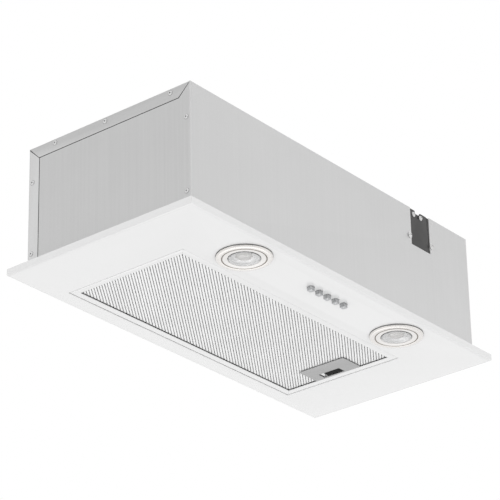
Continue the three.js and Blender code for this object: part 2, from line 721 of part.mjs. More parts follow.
// A helix swept by a round wire, with the coil along X.
const coilFrom = latchLeft + 4 + gap + 0.35;
const coilTo = sliderLeft - gap - 0.35;
const coilTurns = 4;
const coilPoints = [];
for (let i = 0; i <= coilTurns * 10; i += 1) {
  const t = i / (coilTurns * 10);
  const angle = t * coilTurns * Math.PI * 2;
  coilPoints.push(new THREE.Vector3(
    coilFrom + (coilTo - coilFrom) * t,
    middleY + 0.5 + 1.45 * Math.cos(angle),
    latchHigh + 2.2 + 1.45 * Math.sin(angle),
  ));
}
const wire = new THREE.Shape();
for (let i = 0; i < 6; i += 1) {
  const angle = (i / 6) * Math.PI * 2;
  const x = 0.35 * Math.cos(angle);
  const y = 0.35 * Math.sin(angle);
  if (i === 0) {
    wire.moveTo(x, y);
  } else {
    wire.lineTo(x, y);
  }
}
wire.closePath();
const coil = new THREE.ExtrudeGeometry(wire, {
  steps: coilTurns * 10,
  extrudePath: new THREE.CatmullRomCurve3(coilPoints),
  bevelEnabled: false,
});
let spring = toSolid(coil);
if (spring.volume() < 0) {
  spring = toSolid(flipped(mergeVertices(coil, 1e-4)));
}
add("latch_spring", spring, satinSteel);

export default hood;
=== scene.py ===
import bmesh
import bpy
import math
from mathutils import Matrix, Vector


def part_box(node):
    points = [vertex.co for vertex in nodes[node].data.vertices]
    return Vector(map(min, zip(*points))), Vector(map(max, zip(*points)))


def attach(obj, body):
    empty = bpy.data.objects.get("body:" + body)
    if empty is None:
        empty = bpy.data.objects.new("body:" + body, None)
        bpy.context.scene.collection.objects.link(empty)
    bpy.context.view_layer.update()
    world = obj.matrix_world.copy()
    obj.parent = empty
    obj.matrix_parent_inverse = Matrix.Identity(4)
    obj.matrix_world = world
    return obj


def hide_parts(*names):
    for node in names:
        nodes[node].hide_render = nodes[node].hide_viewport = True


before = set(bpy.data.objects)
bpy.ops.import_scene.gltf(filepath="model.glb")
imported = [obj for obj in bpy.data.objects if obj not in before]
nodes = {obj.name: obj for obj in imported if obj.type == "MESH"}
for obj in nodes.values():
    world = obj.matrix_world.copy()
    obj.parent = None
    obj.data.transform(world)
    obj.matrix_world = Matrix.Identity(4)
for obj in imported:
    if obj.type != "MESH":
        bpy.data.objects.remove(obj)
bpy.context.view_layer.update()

MM = 0.001


def box_mm(name):
    """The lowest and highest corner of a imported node, in millimetres."""
    low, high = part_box(name)
    return [v * 1000 for v in low], [v * 1000 for v in high]


# ------------------------------------------------------------------ node groups and materials

def new_group(name, inputs, outputs):
    """An empty shader node group with float, vector or colour sockets."""
    kinds = {"f": "NodeSocketFloat", "v": "NodeSocketVector", "c": "NodeSocketColor"}
    group = bpy.data.node_groups.new(name, "ShaderNodeTree")
    for label, kind, start in inputs:
        socket = group.interface.new_socket(label, in_out="INPUT", socket_type=kinds[kind])
        if start is not None:
            socket.default_value = start
    for label, kind in outputs:
        group.interface.new_socket(label, in_out="OUTPUT", socket_type=kinds[kind])
    return group, group.nodes.new("NodeGroupInput"), group.nodes.new("NodeGroupOutput")


def math_node(tree, operation, first, second, clamp=False):
    """A Math node whose inputs are sockets or numbers."""
    made = tree.nodes.new("ShaderNodeMath")
    made.operation = operation
    made.use_clamp = clamp
    for slot_number, value in enumerate((first, second)):
        if isinstance(value, (int, float)):
            made.inputs[slot_number].default_value = value
        else:
            tree.links.new(value, made.inputs[slot_number])
    return made.outputs[0]


def noise_node(tree, vector, scale, detail, roughness=0.5):
    made = tree.nodes.new("ShaderNodeTexNoise")
    made.inputs["Scale"].default_value = scale
    made.inputs["Detail"].default_value = detail
    made.inputs["Roughness"].default_value = roughness
    tree.links.new(vector, made.inputs["Vector"])
    return made.outputs[0]


def build_rolled_grain():
    """Long fine streaks along one direction, with slow cloudy variation under them."""
    group, source, result = new_group(
        "rolled_grain",
        [("Streak Direction Scale", "v", (1, 1, 1)), ("Fineness", "f", 1.0)],
        [("Streaks", "f"), ("Clouds", "f")],
    )
    place = group.nodes.new("ShaderNodeTexCoord")
    stretch = group.nodes.new("ShaderNodeVectorMath")
    stretch.operation = "MULTIPLY"
    group.links.new(place.outputs["Object"], stretch.inputs[0])
    group.links.new(source.outputs["Streak Direction Scale"], stretch.inputs[1])
    fine = group.nodes.new("ShaderNodeVectorMath")
    fine.operation = "SCALE"
    group.links.new(stretch.outputs[0], fine.inputs[0])
    group.links.new(source.outputs["Fineness"], fine.inputs["Scale"])
    streaks = noise_node(group, fine.outputs[0], 1.0, 4.0, 0.62)
    clouds = noise_node(group, place.outputs["Object"], 14.0, 3.0, 0.5)
    group.links.new(streaks, result.inputs["Streaks"])
    group.links.new(clouds, result.inputs["Clouds"])
    return group


def build_edge_wear():
    """A mask that is high on convex edges, broken up by fine noise."""
    group, source, result = new_group(
        "edge_wear",
        [("Sharpness", "f", 14.0), ("Breakup", "f", 0.5)],
        [("Mask", "f")],
    )
    geometry = group.nodes.new("ShaderNodeNewGeometry")
    place = group.nodes.new("ShaderNodeTexCoord")
    lifted = math_node(group, "SUBTRACT", geometry.outputs["Pointiness"], 0.52)
    strong = math_node(group, "MULTIPLY", lifted, source.outputs["Sharpness"], True)
    grit = noise_node(group, place.outputs["Object"], 900.0, 3.0)
    broken = math_node(group, "MULTIPLY", grit, source.outputs["Breakup"])
    mask = math_node(group, "SUBTRACT", strong, broken, True)
    group.links.new(mask, result.inputs["Mask"])
    return group


def build_handling_marks():
    """Faint smudges and speckle that change gloss across a surface."""
    group, source, result = new_group(
        "handling_marks",
        [("Base Roughness", "f", 0.3), ("Spread", "f", 0.1)],
        [("Roughness", "f"), ("Smudge", "f")],
    )
    place = group.nodes.new("ShaderNodeTexCoord")
    broad = noise_node(group, place.outputs["Object"], 26.0, 5.0, 0.6)
    speck = noise_node(group, place.outputs["Object"], 420.0, 2.0, 0.5)
    mixed = math_node(group, "MULTIPLY_ADD", broad, 0.75)
    weighted = math_node(group, "MULTIPLY", speck, 0.25)
    group.links.new(weighted, mixed.node.inputs[2])
    centred = math_node(group, "SUBTRACT", mixed, 0.5)
    scaled = math_node(group, "MULTIPLY", centred, source.outputs["Spread"])
    total = math_node(group, "ADD", scaled, source.outputs["Base Roughness"], True)
    group.links.new(total, result.inputs["Roughness"])
    group.links.new(broad, result.inputs["Smudge"])
    return group


def build_orange_peel():
    """The soft ripple of sprayed or moulded surfaces."""
    group, source, result = new_group(
        "orange_peel",
        [("Ripple Scale", "f", 700.0), ("Grain Scale", "f", 2400.0)],
        [("Height", "f")],
    )
    place = group.nodes.new("ShaderNodeTexCoord")
    ripple = group.nodes.new("ShaderNodeTexNoise")
    grain = group.nodes.new("ShaderNodeTexNoise")
    for made, label in ((ripple, "Ripple Scale"), (grain, "Grain Scale")):
        made.inputs["Detail"].default_value = 2.0
        group.links.new(place.outputs["Object"], made.inputs["Vector"])
        group.links.new(source.outputs[label], made.inputs["Scale"])
    half = math_node(group, "MULTIPLY", grain.outputs[0], 0.3)
    total = math_node(group, "ADD", ripple.outputs[0], half)
    group.links.new(total, result.inputs["Height"])
    return group


rolled_grain = build_rolled_grain()
edge_wear = build_edge_wear()
handling_marks = build_handling_marks()
orange_peel = build_orange_peel()


def place_group(tree, group, **values):
    made = tree.nodes.new("ShaderNodeGroup")
    made.node_tree = group
    for label, value in values.items():
        made.inputs[label.replace("_", " ")].default_value = value
    return made


def tint(tree, mask, dark, light, low=0.3, high=0.7):
    """A two-stop colour ramp over a mask."""
    ramp = tree.nodes.new("ShaderNodeValToRGB")
    ramp.color_ramp.elements[0].position = low
    ramp.color_ramp.elements[1].position = high
    ramp.color_ramp.elements[0].color = (*dark, 1)
    ramp.color_ramp.elements[1].color = (*light, 1)
    tree.links.new(mask, ramp.inputs[0])
    return ramp.outputs[0]


def mix_colour(tree, mask, first, second):
    made = tree.nodes.new("ShaderNodeMix")
    made.data_type = "RGBA"
    tree.links.new(mask, made.inputs[0])
    for value, socket in ((first, made.inputs[6]), (second, made.inputs[7])):
        if isinstance(value, tuple):
            socket.default_value = (*value, 1)
        else:
            tree.links.new(value, socket)
    return made.outputs[2]


def finish_material(name, dark, light, worn, metallic, roughness, spread,
                    streak=None, fineness=1.0, bump=0.04, distance=0.00005,
                    ripple=None, wear=14.0, specular=0.5, coat=0.0):
    """A surface with tone variation, changing gloss, worn edges and a fine relief."""
    material = bpy.data.materials.new(name)
    material.use_nodes = True
    tree = material.node_tree
    shader = tree.nodes["Principled BSDF"]
    shader.inputs["Metallic"].default_value = metallic
    shader.inputs["Specular IOR Level"].default_value = specular
    shader.inputs["Coat Weight"].default_value = coat
    shader.inputs["Coat Roughness"].default_value = 0.08
    marks = place_group(tree, handling_marks, Base_Roughness=roughness, Spread=spread)
    tree.links.new(marks.outputs["Roughness"], shader.inputs["Roughness"])
    if streak:
        grain = place_group(tree, rolled_grain, Streak_Direction_Scale=streak, Fineness=fineness)
        blend = math_node(tree, "MULTIPLY_ADD", grain.outputs["Streaks"], 0.6)
        clouds = math_node(tree, "MULTIPLY", grain.outputs["Clouds"], 0.4)
        tree.links.new(clouds, blend.node.inputs[2])
        tone, height = blend, grain.outputs["Streaks"]
    else:
        tone = marks.outputs["Smudge"]
        scales = ripple or (700.0, 2400.0)
        peel = place_group(tree, orange_peel, Ripple_Scale=scales[0], Grain_Scale=scales[1])
        height = peel.outputs["Height"]
    colour = tint(tree, tone, dark, light)
    edges = place_group(tree, edge_wear, Sharpness=wear, Breakup=0.5)
    colour = mix_colour(tree, edges.outputs["Mask"], colour, worn)
    tree.links.new(colour, shader.inputs["Base Color"])
    relief = tree.nodes.new("ShaderNodeBump")
    relief.inputs["Strength"].default_value = bump
    relief.inputs["Distance"].default_value = distance
    tree.links.new(height, relief.inputs["Height"])
    tree.links.new(relief.outputs["Normal"], shader.inputs["Normal"])
    return material


def grey(value, warmth=0.0):
    return (value * (1 + warmth), value, value * (1 - warmth))


UP_STREAK = (900.0, 900.0, 12.0)
ALONG_STREAK = (12.0, 900.0, 900.0)
ACROSS_STREAK = (900.0, 12.0, 900.0)

white_enamel = finish_material(
    "white_enamel", grey(0.775), grey(0.795), grey(0.83), 0.0, 0.20, 0.08,
    bump=0.03, distance=0.00002, specular=0.5, coat=1.0)
# The front, side and strip steels are tones of one galvanised sheet: the side and strip copies are darker,
# painted shade for faces that get less light.
front_steel = finish_material(
    "front_steel", grey(0.618), grey(0.642), grey(0.74), 0.75, 0.42, 0.10,
    streak=UP_STREAK, fineness=0.5, bump=0.015)
side_steel_shaded = finish_material(
    "side_steel_shaded", grey(0.548), grey(0.588), grey(0.72), 0.75, 0.40, 0.10,
    streak=UP_STREAK, fineness=0.5, bump=0.02)
strip_steel_shaded = finish_material(
    "strip_steel_shaded", grey(0.50), grey(0.56), grey(0.70), 0.75, 0.38, 0.10,
    streak=ACROSS_STREAK, fineness=0.7, bump=0.03)
# Near-black for sheets put into gaps, behind edges and in hollows: painted shade.
painted_shade_black = finish_material(
    "painted_shade_black", grey(0.010), grey(0.018), grey(0.03), 0.0, 0.7, 0.1, bump=0.05, specular=0.15)
top_steel = finish_material(
    "top_steel", grey(0.58), grey(0.63), grey(0.75), 0.75, 0.40, 0.12,
    streak=ALONG_STREAK, fineness=0.5, bump=0.03)
# Lighter than the front sheet's steel: a painted highlight on the notch's edges.
cut_edge_and_highlight = finish_material(
    "cut_edge_and_highlight", grey(0.72, 0.01), grey(0.80, 0.01), grey(0.9), 0.6, 0.35, 0.12, bump=0.05)
latch_steel = finish_material(
    "latch_steel", grey(0.38), grey(0.43), grey(0.58), 0.8, 0.36, 0.12,
    streak=ACROSS_STREAK, fineness=0.9, bump=0.05)
spring_steel = finish_material(
    "spring_steel", grey(0.45), grey(0.55), grey(0.7), 1.0, 0.28, 0.12, bump=0.04)
mesh_aluminium = finish_material(
    "mesh_aluminium", grey(0.84), grey(0.90), grey(0.95), 0.35, 0.36, 0.12, bump=0.04)
# A darker copy of the mesh aluminium for the inner mesh layer and the flaps: painted shade for parts deeper
# inside.
inner_aluminium_shaded = finish_material(
    "inner_aluminium_shaded", grey(0.42), grey(0.52), grey(0.6), 0.8, 0.42, 0.12, bump=0.05)
satin_nickel = finish_material(
    "satin_nickel", grey(0.74, 0.028), grey(0.80, 0.028), grey(0.88, 0.015), 0.8, 0.26, 0.08,
    streak=(500.0, 500.0, 500.0), fineness=1.0, bump=0.02)
# Dark brown for the ring inside each lamp bezel: painted shade of the groove there.
groove_shade_brown = finish_material(
    "groove_shade_brown", (0.10, 0.075, 0.05), (0.17, 0.13, 0.095), grey(0.3, 0.1), 0.6, 0.35, 0.1, bump=0.03)
lamp_rim = finish_material(
    "lamp_rim", grey(0.76, 0.022), grey(0.82, 0.022), grey(0.87), 0.25, 0.26, 0.1, bump=0.03)
reflector_silver = finish_material(
    "reflector_silver", grey(0.66), grey(0.88), grey(0.95), 0.6, 0.24, 0.08, bump=0.05)
cap_chrome = finish_material(
    "cap_chrome", grey(0.40, -0.015), grey(0.50, -0.015), grey(0.72), 0.9, 0.30, 0.1, bump=0.03)
zinc_screw = finish_material(
    "zinc_screw", grey(0.62, 0.01), grey(0.74), grey(0.88), 1.0, 0.16, 0.12, bump=0.06)
rivet_aluminium = finish_material(
    "rivet_aluminium", grey(0.66), grey(0.76), grey(0.86), 0.9, 0.30, 0.12, bump=0.06)
black_cover = finish_material(
    "black_cover", grey(0.018, 0.03), grey(0.034, 0.03), grey(0.07), 0.0, 0.36, 0.12,
    ripple=(1600.0, 5200.0), bump=0.12, distance=0.00008)
grey_moulding = finish_material(
    "grey_moulding", grey(0.23), grey(0.28), grey(0.36), 0.0, 0.5, 0.14,
    ripple=(1500.0, 4800.0), bump=0.14, distance=0.00008)
black_moulding = finish_material(
    "black_moulding", grey(0.03), grey(0.045), grey(0.09), 0.0, 0.46, 0.14,
    ripple=(1500.0, 4800.0), bump=0.12, distance=0.00008)
lamp_ceramic = finish_material(
    "lamp_ceramic", grey(0.70, 0.02), grey(0.76, 0.02), grey(0.82), 0.0, 0.42, 0.1, bump=0.08)


def build_lens_glass():
    material = bpy.data.materials.new("lens_glass")
    material.use_nodes = True
    tree = material.node_tree
    shader = tree.nodes["Principled BSDF"]
    shader.inputs["Base Color"].default_value = (0.97, 0.97, 0.97, 1)
    shader.inputs["Transmission Weight"].default_value = 1.0
    shader.inputs["IOR"].default_value = 1.45
    marks = place_group(tree, handling_marks, Base_Roughness=0.06, Spread=0.05)
    tree.links.new(marks.outputs["Roughness"], shader.inputs["Roughness"])
    peel = place_group(tree, orange_peel, Ripple_Scale=260.0, Grain_Scale=900.0)
    relief = tree.nodes.new("ShaderNodeBump")
    relief.inputs["Strength"].default_value = 0.08
    relief.inputs["Distance"].default_value = 0.0002
    tree.links.new(peel.outputs["Height"], relief.inputs["Height"])
    tree.links.new(relief.outputs["Normal"], shader.inputs["Normal"])
    return material


lens_glass = build_lens_glass()


# ------------------------------------------------------------------ mesh tools

def settle(name, mesh, material, body, replaced=(), angle=32):
    """Makes the object, smooths it by angle, dresses it and lets it ride on its body."""
    mesh.name = name
    piece = bpy.data.objects.new(name, mesh)
    bpy.context.scene.collection.objects.link(piece)
    if not mesh.materials:
        mesh.materials.append(material)
    mesh.shade_smooth()
    mesh.set_sharp_from_angle(angle=math.radians(angle))
    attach(piece, body)
    if replaced:
        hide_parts(*replaced)
    return piece


def mesh_from(verts, faces, merge=1e-7):
    """A mesh from millimetre points, welded, with its faces turned outward."""
    mesh = bpy.data.meshes.new("piece")
    mesh.from_pydata([tuple(c * MM for c in v) for v in verts], [], faces)
    work = bmesh.new()
    work.from_mesh(mesh)
    bmesh.ops.remove_doubles(work, verts=work.verts, dist=merge)
    bmesh.ops.recalc_face_normals(work, faces=work.faces)
    work.to_mesh(mesh)
    work.free()
    return mesh


def prism(near, far):
    """A closed solid between two matching rings of points."""
    count = len(near)
    faces = [(k, (k + 1) % count, count + (k + 1) % count, count + k) for k in range(count)]
    faces += [tuple(range(count)), tuple(range(count, 2 * count))]
    return mesh_from(near + far, faces)


def bend_outline(radius, inside, step, lip=()):
    """A quarter-round bend as [depth, drop] pairs: outer arc, then any lip, then inner arc."""
    def quarter(reach, angles):
        return [(radius - reach * math.cos(math.radians(a)), radius - reach * math.sin(math.radians(a)))
                for a in angles]
    return quarter(radius, range(0, 91, step)) + list(lip) + quarter(inside, range(90, -1, -step))


def join_meshes(meshes):
    """One mesh from several."""
    work = bmesh.new()
    for part in meshes:
        work.from_mesh(part)
    whole = bpy.data.meshes.new("piece")
    work.to_mesh(whole)
    work.free()
    return whole


def lathe(profile, centre, steps=96, axis="z"):
    """Turns a closed [radius, height] outline about an axis through centre, in millimetres."""
    verts, faces = [], []
    count = len(profile)
    for i in range(steps):
        turn = 2 * math.pi * i / steps
        for r, h in profile:
            a, b = r * math.cos(turn), r * math.sin(turn)
            if axis == "z":
                verts.append((centre[0] + a, centre[1] + b, centre[2] + h))
            elif axis == "x":
                verts.append((centre[0] + h, centre[1] + a, centre[2] + b))
            else:
                verts.append((centre[0] + a, centre[1] + h, centre[2] + b))
    for i in range(steps):
        j = (i + 1) % steps
        for k in range(count):
            m = (k + 1) % count
            faces.append((i * count + k, i * count + m, j * count + m, j * count + k))
    mesh = bpy.data.meshes.new("turned")
    mesh.from_pydata([tuple(c * MM for c in v) for v in verts], [], faces)
    work = bmesh.new()
    work.from_mesh(mesh)
    bmesh.ops.remove_doubles(work, verts=work.verts, dist=1e-8)
    bmesh.ops.dissolve_degenerate(work, dist=1e-8, edges=work.edges)
    bmesh.ops.recalc_face_normals(work, faces=work.faces)
    work.to_mesh(mesh)
    work.free()
    return mesh


def rounded(points, radius, steps=4):
    """The same outline with each corner rounded."""
    result = []
    count = len(points)
    for i in range(count):
        before = Vector(points[i - 1])
        here = Vector(points[i])
        after = Vector(points[(i + 1) % count])
        to_before = (before - here)
        to_after = (after - here)
        reach = min(radius, to_before.length * 0.45, to_after.length * 0.45)
        first = here + to_before.normalized() * reach
        last = here + to_after.normalized() * reach
        for k in range(steps + 1):
            t = k / steps
            point = first.lerp(here, t).lerp(here.lerp(last, t), t)
            result.append((point.x, point.y))
    return result


PLANES = {
    "xy": Matrix(((1, 0, 0, 0), (0, 1, 0, 0), (0, 0, 1, 0), (0, 0, 0, 1))),
    "xz": Matrix(((1, 0, 0, 0), (0, 0, -1, 0), (0, 1, 0, 0), (0, 0, 0, 1))),
    "yz": Matrix(((0, 0, 1, 0), (1, 0, 0, 0), (0, 1, 0, 0), (0, 0, 0, 1))),
}


def plate(outline, low, high, plane="xy", holes=(), edge=0.15, steps=2):
    """A flat sheet with softened edges and holes. low and high are its faces, in millimetres."""
    data = bpy.data.curves.new("outline", "CURVE")
    data.dimensions = "2D"
    data.fill_mode = "BOTH"
    data.resolution_u = 1
    data.bevel_depth = edge * MM
    data.bevel_resolution = steps
    data.offset = -edge * MM
    data.extrude = max((high - low) / 2 - edge, 0.01) * MM
    for loop in (outline, *holes):
        spline = data.splines.new("POLY")
        spline.points.add(len(loop) - 1)
        for point, (a, b) in zip(spline.points, loop):
            point.co = (a * MM, b * MM, 0, 1)
        spline.use_cyclic_u = True
    holder = bpy.data.objects.new("outline", data)
    bpy.context.scene.collection.objects.link(holder)
    bpy.context.view_layer.update()
    mesh = bpy.data.meshes.new_from_object(holder)
    bpy.data.objects.remove(holder)
    bpy.data.curves.remove(data)
    middle = (low + high) / 2 * MM
    if plane == "xz":
        middle = -middle
    mesh.transform(Matrix.Translation((0, 0, middle)))
    mesh.transform(PLANES[plane])
    work = bmesh.new()
    work.from_mesh(mesh)
    bmesh.ops.remove_doubles(work, verts=work.verts, dist=2e-6)
    bmesh.ops.recalc_face_normals(work, faces=work.faces)
    work.to_mesh(mesh)
    work.free()
    return mesh


def rectangle(x0, x1, y0, y1):
    return [(x0, y0), (x1, y0), (x1, y1), (x0, y1)]


def circle(cx, cy, radius, steps=64):
    return [
        (cx + radius * math.cos(2 * math.pi * i / steps), cy + radius * math.sin(2 * math.pi * i / steps))
        for i in range(steps)
    ]


def mitred_frame(x0, x1, y0, y1, profile, seam=0.0):
    """Sweeps a closed [inward offset, z] outline round a rectangle, as four mitred lengths."""
    corners = [(x0, y0, 1, 1), (x1, y0, -1, 1), (x1, y1, -1, -1), (x0, y1, 1, -1)]
    verts, faces = [], []
    count = len(profile)
    for side in range(4):
        ends = (corners[side], corners[(side + 1) % 4])
        run_x = side % 2 == 0
        start = len(verts)
        for number, (cx, cy, sx, sy) in enumerate(ends):
            pull = seam if number == 0 else -seam
            if side in (2, 3):
                pull = -pull
            for inward, z in profile:
                px, py = cx + sx * inward, cy + sy * inward
                if run_x:
                    px += pull
                else:
                    py += pull
                verts.append((px, py, z))
        for k in range(count):
            m = (k + 1) % count
            faces.append((start + k, start + m, start + count + m, start + count + k))
        faces.append(tuple(start + k for k in range(count)))
        faces.append(tuple(start + count + k for k in range(count)))
    return mesh_from(verts, faces, merge=1e-9)


# ------------------------------------------------------------------ camera, light and surroundings

def place_camera():
    data = bpy.data.cameras.new("camera")
    data.sensor_width = 36
    data.lens = 188.24
    data.clip_end = 60
    camera = bpy.data.objects.new("camera", data)
    bpy.context.scene.collection.objects.link(camera)
    right = Vector((0.63416, -0.77297, -0.01902))
    up = Vector((-0.33009, -0.29288, 0.89737))
    back = Vector((-0.69920, -0.56280, -0.44089))
    turn = Matrix((right, up, back)).transposed().to_4x4()
    camera.matrix_world = Matrix.Translation((-2.0299, -1.6239, -1.1996)) @ turn
    bpy.context.scene.camera = camera


def soft_panel(name, place, target, width, height, power, colour=(1, 1, 1)):
    data = bpy.data.lights.new(name, "AREA")
    data.shape = "RECTANGLE"
    data.size, data.size_y = width, height
    data.energy = power
    data.color = colour
    lamp = bpy.data.objects.new(name, data)
    bpy.context.scene.collection.objects.link(lamp)
    lamp.location = place
    lamp.rotation_euler = (Vector(target) - Vector(place)).to_track_quat("-Z", "Y").to_euler()


def build_surroundings():
    scene = bpy.context.scene
    world = bpy.data.worlds.new("studio")
    scene.world = world
    world.use_nodes = True
    tree = world.node_tree
    tree.nodes["Background"].inputs["Strength"].default_value = 0.97
    facing = tree.nodes.new("ShaderNodeTexCoord")
    dim_side = tree.nodes.new("ShaderNodeVectorMath")
    dim_side.operation = "DOT_PRODUCT"
    dim_side.inputs[1].default_value = (-0.70, -0.57, -0.43)
    tree.links.new(facing.outputs["Generated"], dim_side.inputs[0])
    shade = tree.nodes.new("ShaderNodeValToRGB")
    shade.color_ramp.interpolation = "EASE"
    shade.color_ramp.elements[0].position = 0.62
    shade.color_ramp.elements[0].color = (1, 1, 1, 1)
    shade.color_ramp.elements[1].position = 0.92
    shade.color_ramp.elements[1].color = (0.16, 0.16, 0.165, 1)
    tree.links.new(dim_side.outputs["Value"], shade.inputs[0])
    tree.links.new(shade.outputs[0], tree.nodes["Background"].inputs["Color"])
    seen = tree.nodes.new("ShaderNodeBackground")
    seen.inputs["Color"].default_value = (1, 1, 1, 1)
    seen.inputs["Strength"].default_value = 1.0
    path = tree.nodes.new("ShaderNodeLightPath")
    mix = tree.nodes.new("ShaderNodeMixShader")
    tree.links.new(path.outputs["Is Camera Ray"], mix.inputs[0])
    tree.links.new(tree.nodes["Background"].outputs[0], mix.inputs[1])
    tree.links.new(seen.outputs[0], mix.inputs[2])
    tree.links.new(mix.outputs[0], tree.nodes["World Output"].inputs[0])
    scene.view_settings.view_transform = "Standard"
    scene.view_settings.look = "None"

    floor_material = finish_material(
        "pale_floor", grey(0.86), grey(0.88), grey(0.88), 0.0, 0.7, 0.05, bump=0.02)
    glow = floor_material.node_tree.nodes["Principled BSDF"]
    glow.inputs["Emission Color"].default_value = (1, 1, 1, 1)
    glow.inputs["Emission Strength"].default_value = 0.12
    mesh = bpy.data.meshes.new("floor")
    mesh.from_pydata([(-30, -30, -3.7), (30, -30, -3.7), (30, 30, -3.7), (-30, 30, -3.7)], [], [(0, 1, 2, 3)])
    mesh.materials.append(floor_material)
    floor = bpy.data.objects.new("floor", mesh)
    scene.collection.objects.link(floor)

    soft_panel("key_light", (2.4, -2.4, 0.4), (0, 0, 0.05), 1.8, 1.4, 2.4)
    soft_panel("left_light", (-3.0, 0.9, 0.4), (0, 0, 0.05), 1.4, 1.4, 1.2)
    soft_panel("under_light", (0.9, 0.8, -1.5), (0.1, 0.1, 0), 1.0, 1.0, 2.2)


place_camera()
build_surroundings()

# ------------------------------------------------------------------ bottom panel

(panel_x0, panel_y0, panel_z0), (panel_x1, panel_y1, _) = box_mm("bottom_panel")
SHEET = 1.0
BEND = 1.3
(frame_x0, frame_y0, frame_z0), (frame_x1, frame_y1, frame_z1) = box_mm("filter_frame")
HOOK_REACH = 6.0
frame_x0 += HOOK_REACH
OPENING_GAP = 0.5
open_x0, open_x1 = frame_x0 - 2 * OPENING_GAP, frame_x1 + OPENING_GAP
open_y0, open_y1 = frame_y0 - OPENING_GAP, frame_y1 + OPENING_GAP
lamp_places = []
for side in ("left", "right"):
    low, high = box_mm("lamp_bezel_" + side)
    lamp_places.append((side, (low[0] + high[0]) / 2, (low[1] + high[1]) / 2, high[2]))
button_places = []
for number in range(1, 6):
    low, high = box_mm("button_%d" % number)
    button_places.append(((low[0] + high[0]) / 2, (low[1] + high[1]) / 2, low[2]))
low, high = box_mm("button_1")
BUTTON_HALF = (high[0] - low[0]) / 2 - 1.2
HOLE_HALF = BUTTON_HALF + 0.35
FLAT = 3.0
LAMP_HOLE = 23.6
RIM_LIP = 15.4


def build_bottom_panel():
    low, high = panel_z0, panel_z0 + SHEET
    rim = BEND + FLAT
    holes = [rectangle(open_x0 - 1.2, open_x1 + 1.2, open_y0 - 1.2, open_y1 + 1.2)]
    holes += [circle(x, y, LAMP_HOLE) for _, x, y, _ in lamp_places]
    holes += [
        rounded(rectangle(x - HOLE_HALF, x + HOLE_HALF, y - HOLE_HALF, y + HOLE_HALF), 0.6)
        for x, y, _ in button_places
    ]
    sheet = plate(
        rectangle(panel_x0 + rim, panel_x1 - rim, panel_y0 + rim, panel_y1 - rim),
        low, high, holes=holes, edge=0.001, steps=0)
    # the folded rim: flat start, bend, wall, return lip
    outer = [(rim, low), (BEND, low)]
    outer += [(BEND + 0.01 - BEND * math.sin(math.radians(a)), low + BEND - BEND * math.cos(math.radians(a)))
              for a in (15, 30, 45, 60, 75, 90)]
    outer += [(0.01, -0.8)]
    outer += [(0.81 - 0.8 * math.cos(math.radians(a)), -0.8 + 0.8 * math.sin(math.radians(a)))
              for a in (22, 45, 67, 90)]
    outer += [(RIM_LIP - 0.2, 0), (RIM_LIP, -0.2), (RIM_LIP, -0.8), (RIM_LIP - 0.2, -1.0)]
    outer += [(1.3, -1.0), (1.0, -1.3), (1.0, low + 1.6), (1.3, high), (rim, high)]
    folded = mitred_frame(panel_x0, panel_x1, panel_y0, panel_y1, outer)
    # the rolled edge of the filter opening, turned up from the sheet
    roll = 0.6
    edge = [(-1.2, low), (-roll, low)]
    edge += [(-roll + roll * math.sin(math.radians(a)), low + roll - roll * math.cos(math.radians(a)))
             for a in (30, 60, 90)]
    edge += [(0, low + 1.0 - 0.02), (-1.2, high)]
    rolled = mitred_frame(open_x0, open_x1, open_y0, open_y1, edge)
    return join_meshes([sheet, folded, rolled])


settle("panel_skin", build_bottom_panel(), white_enamel, "housing", ["bottom_panel"], 40)


def build_fold_seams():
    """The fine butt line where the rim's folded walls meet at each corner."""
    parts = []
    for cx, sx in ((panel_x0, 1), (panel_x1, -1)):
        for cy, sy in ((panel_y0, 1), (panel_y1, -1)):
            verts, faces = [], []
            for z in (panel_z0 + 1.0, -0.5):
                for inward, along in ((0.0, 0.25), (0.06, 0.25), (0.06, 0.42), (0.0, 0.42)):
                    verts.append((cx + sx * along, cy + sy * inward, z))
            faces = [(0, 1, 2, 3), (7, 6, 5, 4), (0, 4, 5, 1), (1, 5, 6, 2), (2, 6, 7, 3), (3, 7, 4, 0)]
            parts.append(mesh_from(verts, faces))
    return join_meshes(parts)


seam_shadow = finish_material(
    "seam_shadow", grey(0.42), grey(0.5), grey(0.5), 0.0, 0.7, 0.1, bump=0.05)
settle("panel_fold_seams", build_fold_seams(), seam_shadow, "housing", ())

# ------------------------------------------------------------------ housing sheets

(_, _, wall_foot), _ = box_mm("front_wall")
(_, top_y0, _), (_, _, top_z) = box_mm("top_plate")
tab_low = box_mm("top_strip_left")[0][2]
top_x0, top_x1 = box_mm("top_strip_left")[0][0], box_mm("top_strip_right")[1][0]
top_y1 = box_mm("back_wall")[1][1]
WALL = 0.8
back_tab = top_y1 - 14.7
MITRE = 16.0
NOTCH = (136.0, 172.5, 98.0)
(_, collar_y0, collar_z0), (collar_x1, collar_y1, collar_z1) = box_mm("outlet_collar")
collar_y = (collar_y0 + collar_y1) / 2
CORNER = 0.9
RETURN = 2.2
SEAM = 0.9
FOLD = 1.0
FOLD_INSIDE = 0.2


def build_front_wall():
    left, right = top_x0 + RETURN + 0.06, top_x1 - RETURN - 0.06
    top = top_z
    outline = [
        (left, wall_foot), (right, wall_foot), (right, top), (NOTCH[1], top),
        (NOTCH[1], NOTCH[2] + 0.8), (NOTCH[1] - 0.8, NOTCH[2]),
        (NOTCH[0] + 0.8, NOTCH[2]), (NOTCH[0], NOTCH[2] + 0.8), (NOTCH[0], top), (left, top),
    ]
    return plate(outline, top_y0, top_y0 + WALL, "xz", edge=0.12)


settle("front_sheet", build_front_wall(), front_steel, "housing", ["front_wall"])


